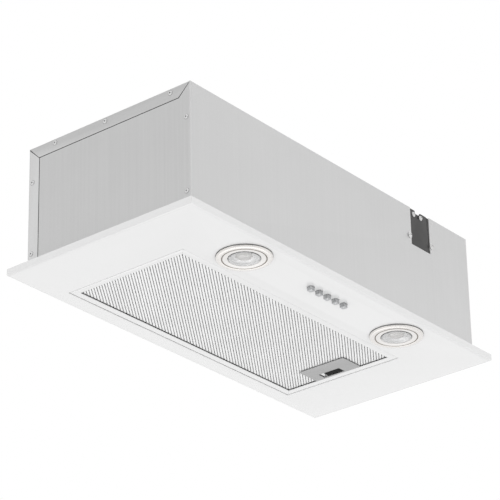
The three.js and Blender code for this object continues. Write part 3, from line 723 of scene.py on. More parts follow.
def build_notch_edges():
    """The notch's edges in a lighter finish that paints their highlight: a turned-in flange on the right, a thin
    strip on the front face at the left.
    """
    right = plate([(top_y0 + 0.02, NOTCH[2] + 0.6), (top_y0 + 2.2, NOTCH[2] + 0.6),
                   (top_y0 + 2.2, top_z - 0.5), (top_y0 + 0.02, top_z - 0.5)],
                  NOTCH[1] - 0.25, NOTCH[1] - 0.02, "yz", edge=0.05)
    left = plate([(NOTCH[0] - 0.02, NOTCH[2] + 0.8), (NOTCH[0] + 0.45, NOTCH[2] + 0.8),
                  (NOTCH[0] + 0.45, top_z - 0.2), (NOTCH[0] - 0.02, top_z - 0.2)],
                 top_y0 + 0.05, top_y0 + 0.75, "xz", edge=0.1)
    return join_meshes([right, left])


settle("notch_edges_and_highlight", build_notch_edges(), cut_edge_and_highlight, "housing", ())


def side_sheet(side):
    """Flat side with a bent front corner; the borders behind the tabs are stepped in."""
    face = side * top_x1
    inner = side * (top_x1 - WALL)
    low, high = min(face, inner), max(face, inner)
    slope = (top_z - tab_low) / MITRE
    drop = SEAM * math.hypot(1, slope)
    outline = [
        (top_y0 + CORNER, wall_foot), (back_tab - SEAM, wall_foot), (back_tab - SEAM, tab_low - SEAM),
        (top_y0 + MITRE - 0.7, tab_low - SEAM), (top_y0 + CORNER, top_z - slope * CORNER - drop + 0.3),
    ]
    flat = plate(outline, low, high, "yz", edge=0.1)
    lip = [(RETURN - 0.1, 0.0), (RETURN, 0.1), (RETURN, WALL - 0.1), (RETURN - 0.1, WALL)]
    bend = bend_outline(CORNER, CORNER - WALL, 10, lip)
    ends = [[(face - side * dx, top_y0 + dy, z) for dx, dy in bend] for z in (wall_foot, top_z - 0.02)]
    # The bend wears the darker strip steel: painted shade on the turned corner.
    settle("corner_bend_" + ("right" if side > 0 else "left"), prism(*ends), strip_steel_shaded,
           "housing", (), 25)
    step = [side * (top_x1 - WALL - 0.3), side * (top_x1 - 2 * WALL - 0.3)]
    strips = [
        plate([(top_y0 + MITRE, tab_low - 4), (top_y1 - 1.4, tab_low - 4), (top_y1 - 1.4, top_z - 1.6),
               (top_y0 + 2, top_z - 1.6), (top_y0 + 2, top_z - 5)], min(step), max(step), "yz", edge=0.05),
        plate([(back_tab - 4, wall_foot), (top_y1 - 1.4, wall_foot), (top_y1 - 1.4, tab_low - 4),
               (back_tab - 4, tab_low - 4)], min(step), max(step), "yz", edge=0.05),
    ]
    return join_meshes([flat, *strips])


settle("side_sheet_left", side_sheet(-1), side_steel_shaded, "housing", ["side_plate_left"], 25)
settle("side_sheet_right", side_sheet(1), side_steel_shaded, "housing", ["side_plate_right"], 25)


def bent_edge(outer_x, side, y0, y1, level):
    """The quarter-round bend between the top sheet and a side tab."""
    profile = bend_outline(FOLD, FOLD_INSIDE, 15)
    return prism(*[[(outer_x - side * dx, y, level - dz) for dx, dz in profile] for y in (y0, y1)])


def build_top_sheet():
    front = top_y0 + WALL + 0.05
    outline = [
        (top_x0 + 1.0, front), (NOTCH[0] - 2, front), (NOTCH[0] - 2, top_y0 + 20),
        (NOTCH[1] + 2, top_y0 + 20), (NOTCH[1] + 2, front), (top_x1 - 1.0, front),
        (top_x1 - 1.0, top_y1), (top_x0 + 1.0, top_y1),
    ]
    return plate(outline, top_z - WALL, top_z, holes=[circle(0, collar_y, 57.8, 96)], edge=0.1)


def top_strip(side):
    """The top sheet's folded tab, mitred at both ends, with its bend."""
    face = side * top_x1
    inner = side * (top_x1 - WALL)
    outline = [
        (top_y0 + 1.1, top_z - 1.0), (top_y0 + MITRE, tab_low),
        (back_tab + 0.2, tab_low), (top_y1 - 1.2, top_z - 1.0),
    ]
    flat = plate(outline, min(face, inner), max(face, inner), "yz", edge=0.1)
    return join_meshes([flat, bent_edge(face, side, top_y0 + 0.9, top_y1 - 0.4, top_z)])


settle("top_sheet", build_top_sheet(), top_steel, "housing", ["top_plate"])
settle("top_fold_left", top_strip(-1), strip_steel_shaded, "housing", ["top_strip_left"])
settle("top_fold_right", top_strip(1), strip_steel_shaded, "housing", ["top_strip_right"])


def build_back_sheet():
    left, right = top_x0 + 1.0, top_x1 - 1.0
    return plate(
        [(left, wall_foot), (right, wall_foot), (right, top_z - 1.1), (left, top_z - 1.1)],
        top_y1 - WALL, top_y1, "xz", edge=0.1)


def back_strip(side):
    """The back sheet's folded tab with its bend; its top end meets the top fold at a mitre."""
    face = side * top_x1
    inner = side * (top_x1 - WALL)
    outline = [
        (back_tab, wall_foot), (top_y1 - 1.0, wall_foot),
        (top_y1 - 1.0, top_z - 2.2), (back_tab, tab_low - 1.0),
    ]
    flat = plate(outline, min(face, inner), max(face, inner), "yz", edge=0.1)
    bend = bend_outline(FOLD, FOLD_INSIDE, 15)
    ends = [[(face - side * dx, top_y1 - dy, z) for dx, dy in bend] for z in (wall_foot, top_z - 1.2)]
    return join_meshes([flat, prism(*ends)])


def seam_shade_backing(side):
    """Black sheets behind the seams, between the side sheet and the folds over its borders: painted shade in the
    gaps.
    """
    near, far = side * (top_x1 - 0.15), side * (top_x1 - 0.35)
    low_x, high_x = min(near, far), max(near, far)
    slope = (top_z - tab_low) / MITRE
    return join_meshes([
        plate([(back_tab - SEAM - 0.1, wall_foot + 1), (back_tab + 0.1, wall_foot + 1),
               (back_tab + 0.1, tab_low), (back_tab - SEAM - 0.1, tab_low)], low_x, high_x, "yz", edge=0.02),
        plate([(top_y0 + MITRE - 1, tab_low - SEAM - 0.1), (back_tab + 0.1, tab_low - SEAM - 0.1),
               (back_tab + 0.1, tab_low + 0.1), (top_y0 + MITRE - 1, tab_low + 0.1)],
              low_x, high_x, "yz", edge=0.02),
        plate([(top_y0 + 1.4, top_z - 1.6 - slope * 1.4 - 1.6), (top_y0 + MITRE, tab_low - SEAM - 0.1),
               (top_y0 + MITRE, tab_low + 0.3), (top_y0 + 1.4, top_z - 1.2)], low_x, high_x, "yz", edge=0.02),
        plate([(back_tab - 0.2, tab_low - 1.5), (top_y1 - 1.4, top_z - 3.0),
               (top_y1 - 1.4, top_z - 1.0), (back_tab - 0.2, tab_low + 0.5)], low_x, high_x, "yz", edge=0.02),
    ])


settle("back_sheet", build_back_sheet(), side_steel_shaded, "housing", ["back_wall"])
settle("back_fold_left", back_strip(-1), side_steel_shaded, "housing", ["back_strip_left"])
settle("back_fold_right", back_strip(1), side_steel_shaded, "housing", ["back_strip_right"])
# Painted shade in the side seams.
settle("seam_shade_backing_left", seam_shade_backing(-1), painted_shade_black, "housing", ())
settle("seam_shade_backing_right", seam_shade_backing(1), painted_shade_black, "housing", ())

# ------------------------------------------------------------------ rivets and screws

def turned_on_side(profile, side, y, z):
    """A turned outline that stands on a side sheet at y, z, with its heights outward."""
    mesh = lathe(profile, (0, 0, 0), 32, "x")
    if side < 0:
        mesh.transform(Matrix.Rotation(math.pi, 4, "Z"))
    mesh.transform(Matrix.Translation((side * top_x1 * MM, y * MM, z * MM)))
    return mesh


def build_rivet(side, y, z):
    """A blind rivet: a low domed head with a dimple."""
    profile = [
        (0, -4.0), (1.5, -4.0), (1.5, 0.02), (2.55, 0.02), (2.62, 0.22), (2.45, 0.52), (2.05, 0.82),
        (1.6, 1.0), (1.2, 1.06), (1.05, 0.98), (0.95, 0.35), (0.6, 0.12), (0.0, 0.1),
    ]
    return turned_on_side(profile, side, y, z)


# Dark grey for rings at the rivets: painted shadow round each head, and painted shade in each dimple.
rivet_shade_grey = finish_material(
    "rivet_shade_grey", grey(0.13), grey(0.20), grey(0.3), 0.4, 0.5, 0.1, bump=0.05)


def ring_on_side(side, y, z, inner, outer, base):
    """A flat dark ring at a rivet. Round the head it paints the shadow under the head; at the centre it is the
    mandrel's end, darkened as painted shade in the dimple.
    """
    profile = [(inner, base - 0.3), (outer, base - 0.3), (outer, base), (inner, base)]
    return turned_on_side(profile, side, y, z)


for number in range(1, 8):
    for side, word in ((-1, "left"), (1, "right")):
        node = "rivet_%s_%d" % (word, number)
        low, high = box_mm(node)
        place = ((low[1] + high[1]) / 2, (low[2] + high[2]) / 2)
        # Painted shadow round the head, and the mandrel's end darkened as painted shade in the dimple.
        settle("rivet_dish_%s_%d" % (word, number), ring_on_side(side, *place, 2.3, 2.95, 0.03), rivet_shade_grey,
               "housing", ())
        settle("mandrel_%s_%d" % (word, number), ring_on_side(side, *place, 0.05, 1.0, 0.62), rivet_shade_grey,
               "housing", ())
        settle("blind_" + node, build_rivet(side, *place),
               rivet_aluminium, "housing", [node])


def box_mesh(low, high):
    mesh = bpy.data.meshes.new("box")
    work = bmesh.new()
    bmesh.ops.create_cube(work, size=1.0)
    bmesh.ops.scale(work, vec=[(b - a) * MM for a, b in zip(low, high)], verts=work.verts)
    bmesh.ops.translate(work, vec=[(a + b) / 2 * MM for a, b in zip(low, high)], verts=work.verts)
    work.to_mesh(mesh)
    work.free()
    return mesh


def carved(mesh, cutters):
    """The mesh with each cutter taken out of it."""
    holder = bpy.data.objects.new("carved", mesh)
    bpy.context.scene.collection.objects.link(holder)
    tools = []
    for cutter_mesh in cutters:
        cutter = bpy.data.objects.new("cutter", cutter_mesh)
        bpy.context.scene.collection.objects.link(cutter)
        cut = holder.modifiers.new("carve", "BOOLEAN")
        cut.operation = "DIFFERENCE"
        cut.object = cutter
        cut.solver = "EXACT"
        tools.append(cutter)
    bpy.context.view_layer.update()
    result = bpy.data.meshes.new_from_object(holder.evaluated_get(bpy.context.evaluated_depsgraph_get()))
    for thing in [holder, *tools]:
        bpy.data.objects.remove(thing)
    return result


def build_screw(x, face, z, head, turn):
    """A pan head screw with a washer face and a cross recess, driven along Y."""
    profile = [
        (0, 4.0), (head * 0.5, 4.0), (head * 0.5, 0.0), (head * 1.0, 0.0), (head * 1.04, -0.35),
        (head * 0.84, -0.5), (head * 0.8, -0.95), (head * 0.66, -1.45), (head * 0.4, -1.68), (0, -1.75),
    ]
    body = lathe(profile, (0, 0, 0), 40, "y")
    arms = []
    for quarter in (0, 90):
        arm = bpy.data.meshes.new("arm")
        work = bmesh.new()
        bmesh.ops.create_cube(work, size=1.0)
        bmesh.ops.scale(work, vec=(head * 1.0 * MM, 1.9 * MM, 0.62 * MM), verts=work.verts)
        bmesh.ops.rotate(work, cent=(0, 0, 0), matrix=Matrix.Rotation(math.radians(quarter + turn), 3, "Y"),
                         verts=work.verts)
        bmesh.ops.translate(work, vec=(0, -1.9 * MM, 0), verts=work.verts)
        work.to_mesh(arm)
        work.free()
        arms.append(arm)
    mesh = carved(body, arms)
    mesh.transform(Matrix.Translation((x * MM, face * MM, z * MM)))
    return mesh


SCREW_HEAD_HEIGHT = 1.78
WALL_HEAD_EXTRA = 0.45
CLAMP_HEAD_EXTRA = 0.2

for node, extra, turn in (
    ("wall_screw_1", WALL_HEAD_EXTRA, 20), ("wall_screw_2", WALL_HEAD_EXTRA, 65),
    ("clamp_screw_1", CLAMP_HEAD_EXTRA, 35), ("clamp_screw_2", CLAMP_HEAD_EXTRA, 80),
):
    low, high = box_mm(node)
    head = (high[0] - low[0]) / 2 + extra
    face = low[1] + SCREW_HEAD_HEIGHT
    settle("cross_" + node, build_screw((low[0] + high[0]) / 2, face, (low[2] + high[2]) / 2, head, turn),
           zinc_screw, "housing", [node])

# ------------------------------------------------------------------ terminal cover in the notch

COVER_RECESS = 0.9


def build_terminal_cover():
    """The black cover that fills the notch, with its side walls, flange and backing."""
    low, high = box_mm("terminal_box")
    face = top_y0 + COVER_RECESS
    x0, x1 = NOTCH[0] + 0.1, NOTCH[1] - 0.9
    crest = top_z
    cover = plate(
        [(x0, NOTCH[2] + 0.2), (x1 - 1.2, NOTCH[2] + 0.2), (x1 - 3.4, crest - 0.2), (157.0, crest - 0.2),
         (154.0, crest - 8.5), (148.0, crest - 8.5), (146.5, crest - 0.2), (x0, crest - 0.2)],
        face, face + 1.6, "xz", edge=0.2, steps=3)
    # side walls that run back into the housing
    sides = [
        plate([(face + 0.4, NOTCH[2] - 3.5), (low[1] + 34.5, NOTCH[2] - 3.5),
               (low[1] + 34.5, high[2] - 0.2), (face + 0.4, high[2] - 0.2)], a, b, "yz", edge=0.25)
        for a, b in ((x0, x0 + 2.0), (x1 - 2.0, x1))
    ]
    # the flange behind the wall, cut out round the notch
    flange = plate(
        [(low[0], low[2]), (high[0], low[2]), (high[0], high[2] - 0.2), (x1 + 0.1, high[2] - 0.2),
         (x1 + 0.1, NOTCH[2] - 1), (x0 - 0.1, NOTCH[2] - 1), (x0 - 0.1, high[2] - 0.2),
         (low[0], high[2] - 0.2)],
        top_y0 + 1.1, top_y0 + 3.4, "xz", edge=0.2)
    backing = plate([(x0, NOTCH[2] - 3), (x1, NOTCH[2] - 3), (x1, crest - 0.2), (x0, crest - 0.2)],
                    face + 4.0, face + 4.8, "xz", edge=0.1)
    return join_meshes([cover, *sides, flange, backing])


settle("terminal_cover", build_terminal_cover(), black_cover, "housing", ["terminal_box"])


def build_cover_gap():
    """A black sheet behind the cover's slanting right edge: painted shade in the gap."""
    return plate([(NOTCH[1] - 5, NOTCH[2] + 0.4), (NOTCH[1] - 0.3, NOTCH[2] + 0.4),
                  (NOTCH[1] - 0.3, top_z - 0.4), (NOTCH[1] - 5, top_z - 0.4)],
                 top_y0 + 1.5, top_y0 + 1.9, "xz", edge=0.05)


# Painted shade seen through the gap at the cover's right edge.
settle("cover_gap_shade", build_cover_gap(), painted_shade_black, "housing", ())


def build_clamp():
    low, high = box_mm("cable_clamp")
    left = plate(
        rounded([(low[0], low[2]), (148.0, low[2]), (148.0, high[2] - 2),
                 (low[0] + 3, high[2]), (low[0], high[2])], 0.8),
        low[1], high[1], "xz", edge=0.25, steps=3)
    right = plate(
        rounded([(154.0, low[2]), (high[0], low[2]), (high[0], high[2]),
                 (156, high[2]), (154.0, high[2] - 2)], 0.8),
        low[1], high[1], "xz", edge=0.25, steps=3)
    link = plate([(147.0, low[2]), (155.0, low[2]), (155.0, high[2] - 1.2), (147.0, high[2] - 1.2)],
                 low[1] + 0.6, high[1], "xz", edge=0.25, steps=3)
    return join_meshes([left, right, link])


settle("cord_clamp", build_clamp(), black_cover, "housing", ["cable_clamp"])

# ------------------------------------------------------------------ push buttons

def build_button(x, y, low_z):
    """A square chromed cap with a crowned face, its collar and stem."""
    half = BUTTON_HALF
    rings = [
        (half - 1.6, low_z + 0.0), (half - 0.7, low_z + 0.04), (half - 0.25, low_z + 0.12),
        (half - 0.06, low_z + 0.28), (half, low_z + 0.55), (half, low_z + 7.15),
        (half + 1.2, low_z + 7.15), (half + 1.2, low_z + 8.25), (2.2, low_z + 8.25), (2.2, low_z + 19.3),
    ]
    verts, faces = [], []
    steps = 5
    for r, z in rings:
        round_by = min(0.45, r * 0.4)
        ring = rounded(rectangle(x - r, x + r, y - r, y + r), round_by, steps)
        verts += [(a, b, z) for a, b in ring]
    count = 4 * (steps + 1)
    for level in range(len(rings) - 1):
        for k in range(count):
            m = (k + 1) % count
            a = level * count
            faces.append((a + k, a + m, a + count + m, a + count + k))
    faces.append(tuple(range(count)))
    faces.append(tuple(range((len(rings) - 1) * count, len(rings) * count)))
    return mesh_from(verts, faces)


for number, (x, y, low_z) in enumerate(button_places, 1):
    settle("push_cap_%d" % number, build_button(x, y, low_z), cap_chrome,
           "push_button_%d" % number, ["button_%d" % number], 40)

# ------------------------------------------------------------------ lamps

def lamp_parts(side, x, y, high_z):
    """One spot lamp: its bezel, a black ring of painted shade under the bezel's edge, a dark ring of painted
    shade in the groove inside it, rim, shell with pins, bowl, emitter and glass.
    """
    seat = panel_z0 - 0.3
    face = seat - 2.3
    bezel = [
        (23.2, high_z), (23.2, seat + 0.25), (30.2, seat + 0.25), (30.2, seat - 0.3), (30.05, face + 0.9),
        (29.8, face + 0.4), (29.4, face), (28.9, face - 0.2), (28.0, face - 0.35), (26.4, face - 0.45),
        (24.5, face - 0.5), (24.2, face - 0.35), (24.1, face + 0.3), (24.1, seat - 0.2), (22.0, seat - 0.2),
        (22.0, high_z),
    ]
    settle("nickel_bezel_" + side, lathe(bezel, (x, y, 0), 128), satin_nickel, "housing",
           ["lamp_bezel_" + side], 50)
    # A black ring at the bezel's outer wall, where it stands off the panel: painted shade.
    wall_shade = [(29.6, seat + 0.26), (30.25, seat + 0.26), (30.25, seat - 0.5), (29.6, seat - 0.5)]
    settle("bezel_wall_shade_" + side, lathe(wall_shade, (x, y, 0), 128), painted_shade_black, "housing", (),
           40)
    # A dark brown ring inside the bezel: painted shade in the groove between bezel and lamp rim.
    groove_ring = [(23.15, face + 0.2), (23.15, face - 0.35), (23.3, face - 0.55), (23.6, face - 0.62),
            (23.95, face - 0.5), (24.02, face + 0.2)]
    settle("lamp_groove_shade_" + side, lathe(groove_ring, (x, y, 0), 128), groove_shade_brown, "housing", (), 60)
    rim = face - 0.15
    collar = [
        (22.6, rim + 0.5), (23.0, rim + 0.2), (23.1, rim - 0.1), (22.9, rim - 0.3), (22.4, rim - 0.38),
        (21.6, rim - 0.36), (20.9, rim - 0.3), (19.4, rim - 0.1), (18.0, rim + 0.1), (17.75, rim + 0.2),
        (17.6, rim + 0.5), (17.55, rim + 1.6), (18.6, seat + 0.7), (21.5, seat + 0.7), (21.5, rim + 0.7),
    ]
    settle("lamp_rim_" + side, lathe(collar, (x, y, 0), 128), lamp_rim, "housing", (), 50)
    shell = [
        (18.3, seat + 0.9), (21.5, seat + 0.9), (21.5, -2.0), (20.0, 6.0), (17.8, 14.0), (15.0, 22.0),
        (12.4, 29.0), (10.5, 34.0), (10.5, 44.0), (9.6, 44.0), (9.6, 34.2), (7.0, 8.0), (12.0, 3.0),
        (16.0, -3.0), (18.0, -6.5),
    ]
    shell_mesh = lathe(shell, (x, y, 0), 96)
    pins = [lathe([(0, 42.0), (2.0, 42.0), (2.0, 47.0), (2.5, 47.6), (2.5, 49.6), (2.1, 50.0), (0, 50.0)],
                  (x + dx, y, 0), 24) for dx in (-5, 5)]
    settle("lamp_shell_" + side, join_meshes([shell_mesh, *pins]), lamp_ceramic, "housing",
           ["lamp_body_" + side], 40)
    # the bowl behind the lens: facetted silver cone and a domed emitter
    rings = [(17.5, rim + 0.85), (16.2, rim + 1.2), (14.4, rim + 2.1), (12.0, rim + 3.0), (9.2, rim + 3.6)]
    verts, faces = [], []
    facets = 36
    for level, (r, z) in enumerate(rings):
        for k in range(facets):
            turn = 2 * math.pi * (k + 0.5 * (level % 2)) / facets
            verts.append((x + r * math.cos(turn), y + r * math.sin(turn), z))
    for level in range(len(rings) - 1):
        for k in range(facets):
            m = (k + 1) % facets
            a = level * facets
            faces.append((a + k, a + m, a + facets + m, a + facets + k))
    back = len(verts)
    for level, (r, z) in enumerate(rings):
        for k in range(facets):
            turn = 2 * math.pi * (k + 0.5 * (level % 2)) / facets
            verts.append((x + r * math.cos(turn), y + r * math.sin(turn), z + 0.4))
    for level in range(len(rings) - 1):
        for k in range(facets):
            m = (k + 1) % facets
            a = back + level * facets
            faces.append((a + facets + k, a + facets + m, a + m, a + k))
    for k in range(facets):
        m = (k + 1) % facets
        top = (len(rings) - 1) * facets
        faces.append((k, back + k, back + m, m))
        faces.append((top + m, back + top + m, back + top + k, top + k))
    settle("lamp_bowl_" + side, mesh_from(verts, faces), reflector_silver, "housing", (), 20)
    dome = [(0, rim + 4.0), (9.3, rim + 4.0), (9.3, rim + 3.4), (8.4, rim + 2.4), (6.6, rim + 1.7),
            (4.2, rim + 1.3), (2.0, rim + 1.15), (0, rim + 1.1)]
    settle("lamp_emitter_" + side, lathe(dome, (x, y, 0), 64), lamp_rim, "housing", (), 50)
    lens = [
        (0, rim + 0.6), (8, rim + 0.55), (15.0, rim + 0.38), (17.3, rim + 0.28), (17.45, rim + 0.4),
        (17.45, rim + 0.7), (15.0, rim + 0.8), (0, rim + 0.95),
    ]
    settle("lamp_glass_" + side, lathe(lens, (x, y, 0), 96), lens_glass, "housing",
           ["lamp_lens_" + side], 50)


for lamp in lamp_places:
    lamp_parts(*lamp)

# ------------------------------------------------------------------ grease filter

BAND = 8.2


def build_filter_frame():
    """A folded channel all round, mitred at the corners, with hook tabs at the left end."""
    low, high = frame_z0, frame_z1
    profile = [(BAND - 0.3, low + 0.02), (0.7, low)]
    profile += [(0.7 - 0.7 * math.sin(math.radians(a)), low + 0.7 - 0.7 * math.cos(math.radians(a)))
                for a in (22, 45, 67, 90)]
    profile += [(0, high - 0.6), (0.2, high - 0.2), (0.6, high), (BAND - 0.2, high), (BAND, high - 0.3),
                (BAND, high - 0.8), (BAND - 0.3, high - 1.0), (1.0, high - 1.0), (1.0, low + 1.0),
                (BAND - 0.3, low + 1.0), (BAND, low + 0.7), (BAND, low + 0.3)]
    band = mitred_frame(frame_x0, frame_x1, frame_y0, frame_y1, profile, seam=0.06)
    middle = (frame_y0 + frame_y1) / 2
    tabs = [
        plate(rounded(rectangle(frame_x0 - HOOK_REACH, frame_x0 + 0.6, middle + dy - 10, middle + dy + 10), 1.6),
              panel_z0 + 1.5, panel_z0 + 2.7, edge=0.2)
        for dy in (-46, 46)
    ]
    slot = box_mesh((frame_x1 - 1.6, middle - 10.0, low + 1.0), (frame_x1 + 0.6, middle + 11.0, low + 2.9))
    return join_meshes([carved(band, [slot]), *tabs])


settle("filter_rim", build_filter_frame(), white_enamel, "filter", ["filter_frame"], 40)


def build_mesh_edge_shade():
    """A thin black strip under the band's inner edge, all round the mesh: painted shade in the gap between band
    and mesh.
    """
    level = frame_z0 + 1.02
    reach = BAND + 0.6
    outline = [(2.0, level), (reach, level), (reach, level + 0.22), (2.0, level + 0.22)]
    return mitred_frame(frame_x0, frame_x1, frame_y0, frame_y1, outline)


# Painted shade: a black strip under the band's inner edge.
settle("mesh_edge_shade", build_mesh_edge_shade(), painted_shade_black, "filter", ())


def build_hinge_gap():
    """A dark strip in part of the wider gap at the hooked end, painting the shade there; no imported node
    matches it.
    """
    return plate(rectangle(open_x0 + 0.1, frame_x0 - 0.12, frame_y0 + 0.5, frame_y0 + 78),
                 panel_z0 + 0.7, panel_z0 + 0.95, edge=0.03)


# Painted shade in the gap beside the filter's hooked end.
settle("hinge_gap_shade", build_hinge_gap(), seam_shadow, "housing", ())

(latch_x0, latch_y0, latch_z0), (latch_x1, latch_y1, latch_z1) = box_mm("latch_plate")


def expanded_metal(x0, x1, y0, y1, low, high, long_way, short_way, slit, length, lean, skip=None):
    """Diamond mesh cut and stretched from sheet. Each diamond cell has a slit along one pair of its
    sides; slit and length are its share of the cell across and along, lean lifts one strand."""
    half_long, half_short = long_way / 2, short_way / 2
    columns = int((x1 - x0) / half_long) + 1
    rows = int((y1 - y0) / half_short) + 1
    verts, faces, index = [], [], {}

    def point(x, y, z):
        key = (round(x, 4), round(y, 4), round(z, 4))
        if key not in index:
            index[key] = len(verts)
            verts.append((x, y, z))
        return index[key]

    outer_shares = ((-0.5, -0.5), (0.5, -0.5), (0.5, 0.5), (-0.5, 0.5))
    for i in range(1, columns - 1):
        for j in range(1, rows - 1):
            if (i + j) % 2 == 0:
                continue
            cx, cy = x0 + i * half_long, y0 + j * half_short
            if skip and skip[0] < cx < skip[1] and skip[2] < cy < skip[3]:
                continue
            outer, inner = [], []
            for p, q in outer_shares:
                outer.append((cx + (p - q) * half_long, cy + (p + q) * half_short))
                px, qx = p * length, q * slit
                lift = lean if q > 0 else -lean
                inner.append((cx + (px - qx) * half_long, cy + (px + qx) * half_short, lift))
            for n in range(4):
                m = (n + 1) % 4
                for level, turn in ((low, False), (high, True)):
                    ring = (
                        point(*outer[n], level), point(*outer[m], level),
                        point(inner[m][0], inner[m][1], level + inner[m][2]),
                        point(inner[n][0], inner[n][1], level + inner[n][2]),
                    )
                    faces.append(tuple(reversed(ring)) if turn else ring)
                faces.append((
                    point(inner[n][0], inner[n][1], low + inner[n][2]),
                    point(inner[m][0], inner[m][1], low + inner[m][2]),
                    point(inner[m][0], inner[m][1], high + inner[m][2]),
                    point(inner[n][0], inner[n][1], high + inner[n][2]),
                ))
    mesh = bpy.data.meshes.new("expanded")
    mesh.from_pydata([tuple(c * MM for c in v) for v in verts], [], faces)
    work = bmesh.new()
    work.from_mesh(mesh)
    # the open outer edge is closed by walls between the two faces
    pairs = {}
    for edge in [e for e in work.edges if e.is_boundary]:
        a, b = edge.verts
        key = tuple(sorted(((round(a.co.x, 7), round(a.co.y, 7)), (round(b.co.x, 7), round(b.co.y, 7)))))
        pairs.setdefault(key, []).append(edge)
    for pair in pairs.values():
        if len(pair) == 2:
            a, b = pair[0].verts
            c, d = pair[1].verts
            if (a.co.xy - c.co.xy).length > (a.co.xy - d.co.xy).length:
                c, d = d, c
            work.faces.new((a, b, d, c))
    bmesh.ops.recalc_face_normals(work, faces=work.faces)
    work.to_mesh(mesh)
    work.free()
    return mesh


MESH_INSET = 3.2
mesh_x0, mesh_x1 = frame_x0 + MESH_INSET, frame_x1 - MESH_INSET
mesh_y0, mesh_y1 = frame_y0 + MESH_INSET, frame_y1 - MESH_INSET
low, high = box_mm("filter_mesh_lower")
settle(
    "expanded_mesh_lower",
    expanded_metal(mesh_x0, mesh_x1, mesh_y0, mesh_y1, low[2] + 0.1, low[2] + 0.6,
                   long_way=5.31, short_way=3.75, slit=0.34, length=0.86, lean=0.12,
                   skip=(latch_x0 + 3.5, frame_x1, latch_y0 + 4.5, latch_y1 - 4.5)),
    mesh_aluminium, "filter", ["filter_mesh_lower"], 20)
low, high = box_mm("filter_mesh_upper")
settle(
    "expanded_mesh_upper",
    expanded_metal(mesh_x0, mesh_x1, mesh_y0, mesh_y1, low[2], high[2] - 0.2,
                   long_way=11.8, short_way=6.9, slit=0.7, length=0.7, lean=0.2),
    inner_aluminium_shaded, "filter", ["filter_mesh_upper"], 20)

# ------------------------------------------------------------------ filter latch

latch_y = (frame_y0 + frame_y1) / 2
SLOT = (latch_x1 - 13.3, latch_x1 - 2.2, latch_y - 12.0, latch_y + 17.0)


def build_latch_plate():
    outline = rounded(rectangle(latch_x0, latch_x1, latch_y0, latch_y1), 3.2, 6)
    hole = rounded(rectangle(SLOT[0], SLOT[1], SLOT[2], SLOT[3]), 0.8, 3)
    face = plate(outline, latch_z0, latch_z0 + 0.8, holes=[hole], edge=0.18, steps=3)
    rails = []
    for side in (-1, 1):
        edge = latch_y + (-16.5 if side < 0 else 20.5)
        walls = sorted((edge + side * 0.4, edge + side * 1.4))
        lips = sorted((edge - side * 1.6, edge + side * 1.4))
        x0, x1 = latch_x0 + 11, latch_x0 + 31
        rails.append(plate(rectangle(x0, x1, *walls), latch_z0 + 0.7, latch_z1 - 0.3, edge=0.1))
        rails.append(plate(rectangle(x0, x1, *lips), latch_z1 - 0.8, latch_z1, edge=0.15))
    stop = plate(rectangle(latch_x0 + 3, latch_x0 + 4, latch_y - 4.5, latch_y + 5.5),
                 latch_z0 + 0.7, latch_z1, edge=0.15)
    return join_meshes([face, *rails, stop])


settle("latch_cover", build_latch_plate(), latch_steel, "filter", ["latch_plate"])


def build_finger_tab():
    """The pull at the far end of the slot: a bright strip leaning back from the plate's far edge."""
    x0, x1 = SLOT[0] + 0.2, SLOT[1] - 0.1
    foot, tip = SLOT[3] - 1.0, SLOT[3] - 3.4
    low, high = latch_z0 + 1.25, latch_z0 + 2.9
    return prism(*[[(x, foot, low), (x, tip, high), (x, tip, high + 0.7), (x, foot, low + 0.8)]
                   for x in (x0, x1)])


def build_finger_well():
    """A cup behind the slot, shallow on the side where a finger pulls, in near-black that paints the shade
    inside it.
    """
    x0, x1 = SLOT[0] - 0.9, SLOT[1] + 0.5
    profile = []
    for step in range(9):
        t = step / 8
        profile.append((x0 + (x1 - x0) * t, latch_z0 + 1.25 + 4.0 * (1 - t) ** 0.7))
    profile += [(x, z + 0.5) for x, z in reversed(profile)]
    return prism(*[[(x, y, z) for x, z in profile] for y in (SLOT[2] - 0.6, SLOT[3] - 4.4)])


settle("finger_tab", build_finger_tab(), rivet_aluminium, "latch", ())
# The cup's near-black is painted shade inside the well.
settle("finger_well", build_finger_well(), painted_shade_black, "latch", ())


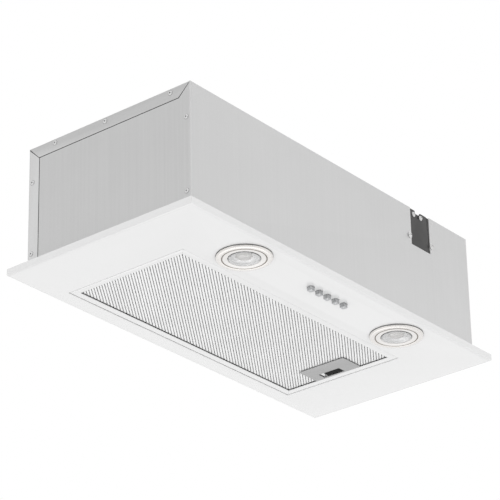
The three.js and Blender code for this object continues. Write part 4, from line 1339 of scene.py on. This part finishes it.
def carry_over(node, material, width=0.25, segments=2):
    """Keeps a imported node's shape, softens its edges and gives it a finish."""
    piece = nodes[node]
    piece.data.materials.clear()
    piece.data.materials.append(material)
    soften = piece.modifiers.new("soft_edges", "BEVEL")
    soften.width = width * MM
    soften.segments = segments
    soften.limit_method = "ANGLE"
    soften.angle_limit = math.radians(38)
    soften.use_clamp_overlap = True
    return piece


carry_over("latch_slider", latch_steel, 0.15)
carry_over("latch_spring", spring_steel, 0.02)
carry_over("switch_block", grey_moulding, 0.5)
carry_over("scroll_left", grey_moulding, 0.4)
carry_over("scroll_right", grey_moulding, 0.4)
carry_over("impeller", black_moulding, 0.15)
carry_over("motor_body", top_steel, 0.6)
carry_over("motor_shaft", spring_steel, 0.3)
carry_over("motor_bracket", top_steel, 0.4)
carry_over("flap_back", inner_aluminium_shaded, 0.2)
carry_over("flap_front", inner_aluminium_shaded, 0.2)
carry_over("flap_pin", spring_steel, 0.3)
carry_over("lamp_holder_left", lamp_ceramic, 0.8)
carry_over("lamp_holder_right", lamp_ceramic, 0.8)

# ------------------------------------------------------------------ duct collar

def build_collar():
    z0, z1 = collar_z0, collar_z1
    outer = collar_x1 - 8
    bore = outer - 1.6
    ledge = z0 - 0.3 + 14
    profile = [(bore, z0), (collar_x1 - 0.3, z0), (collar_x1, z0 + 0.3), (collar_x1, z0 + 0.9),
               (collar_x1 - 0.3, z0 + 1.2), (outer + 1.2, z0 + 1.2)]
    profile += [(outer + 1.2 - 1.2 * math.sin(math.radians(a)), z0 + 2.4 - 1.2 * math.cos(math.radians(a)))
                for a in (30, 60, 90)]
    bead = z1 - 9
    profile += [(outer, bead - 2.2), (outer + 0.5, bead - 1.6), (outer + 0.95, bead - 0.8),
                (outer + 1.1, bead), (outer + 0.95, bead + 0.8), (outer + 0.5, bead + 1.6),
                (outer, bead + 2.2)]
    profile += [(outer, z1 - 0.9), (outer - 0.2, z1 - 0.3), (outer - 0.6, z1), (bore + 0.5, z1),
                (bore + 0.1, z1 - 0.3), (bore, z1 - 0.8), (bore, ledge), (bore - 3, ledge),
                (bore - 3, ledge - 1.6), (bore, ledge - 1.6)]
    return lathe(profile, (0, collar_y, 0), 128)


settle("duct_spigot", build_collar(), top_steel, "housing", ["outlet_collar"], 40)
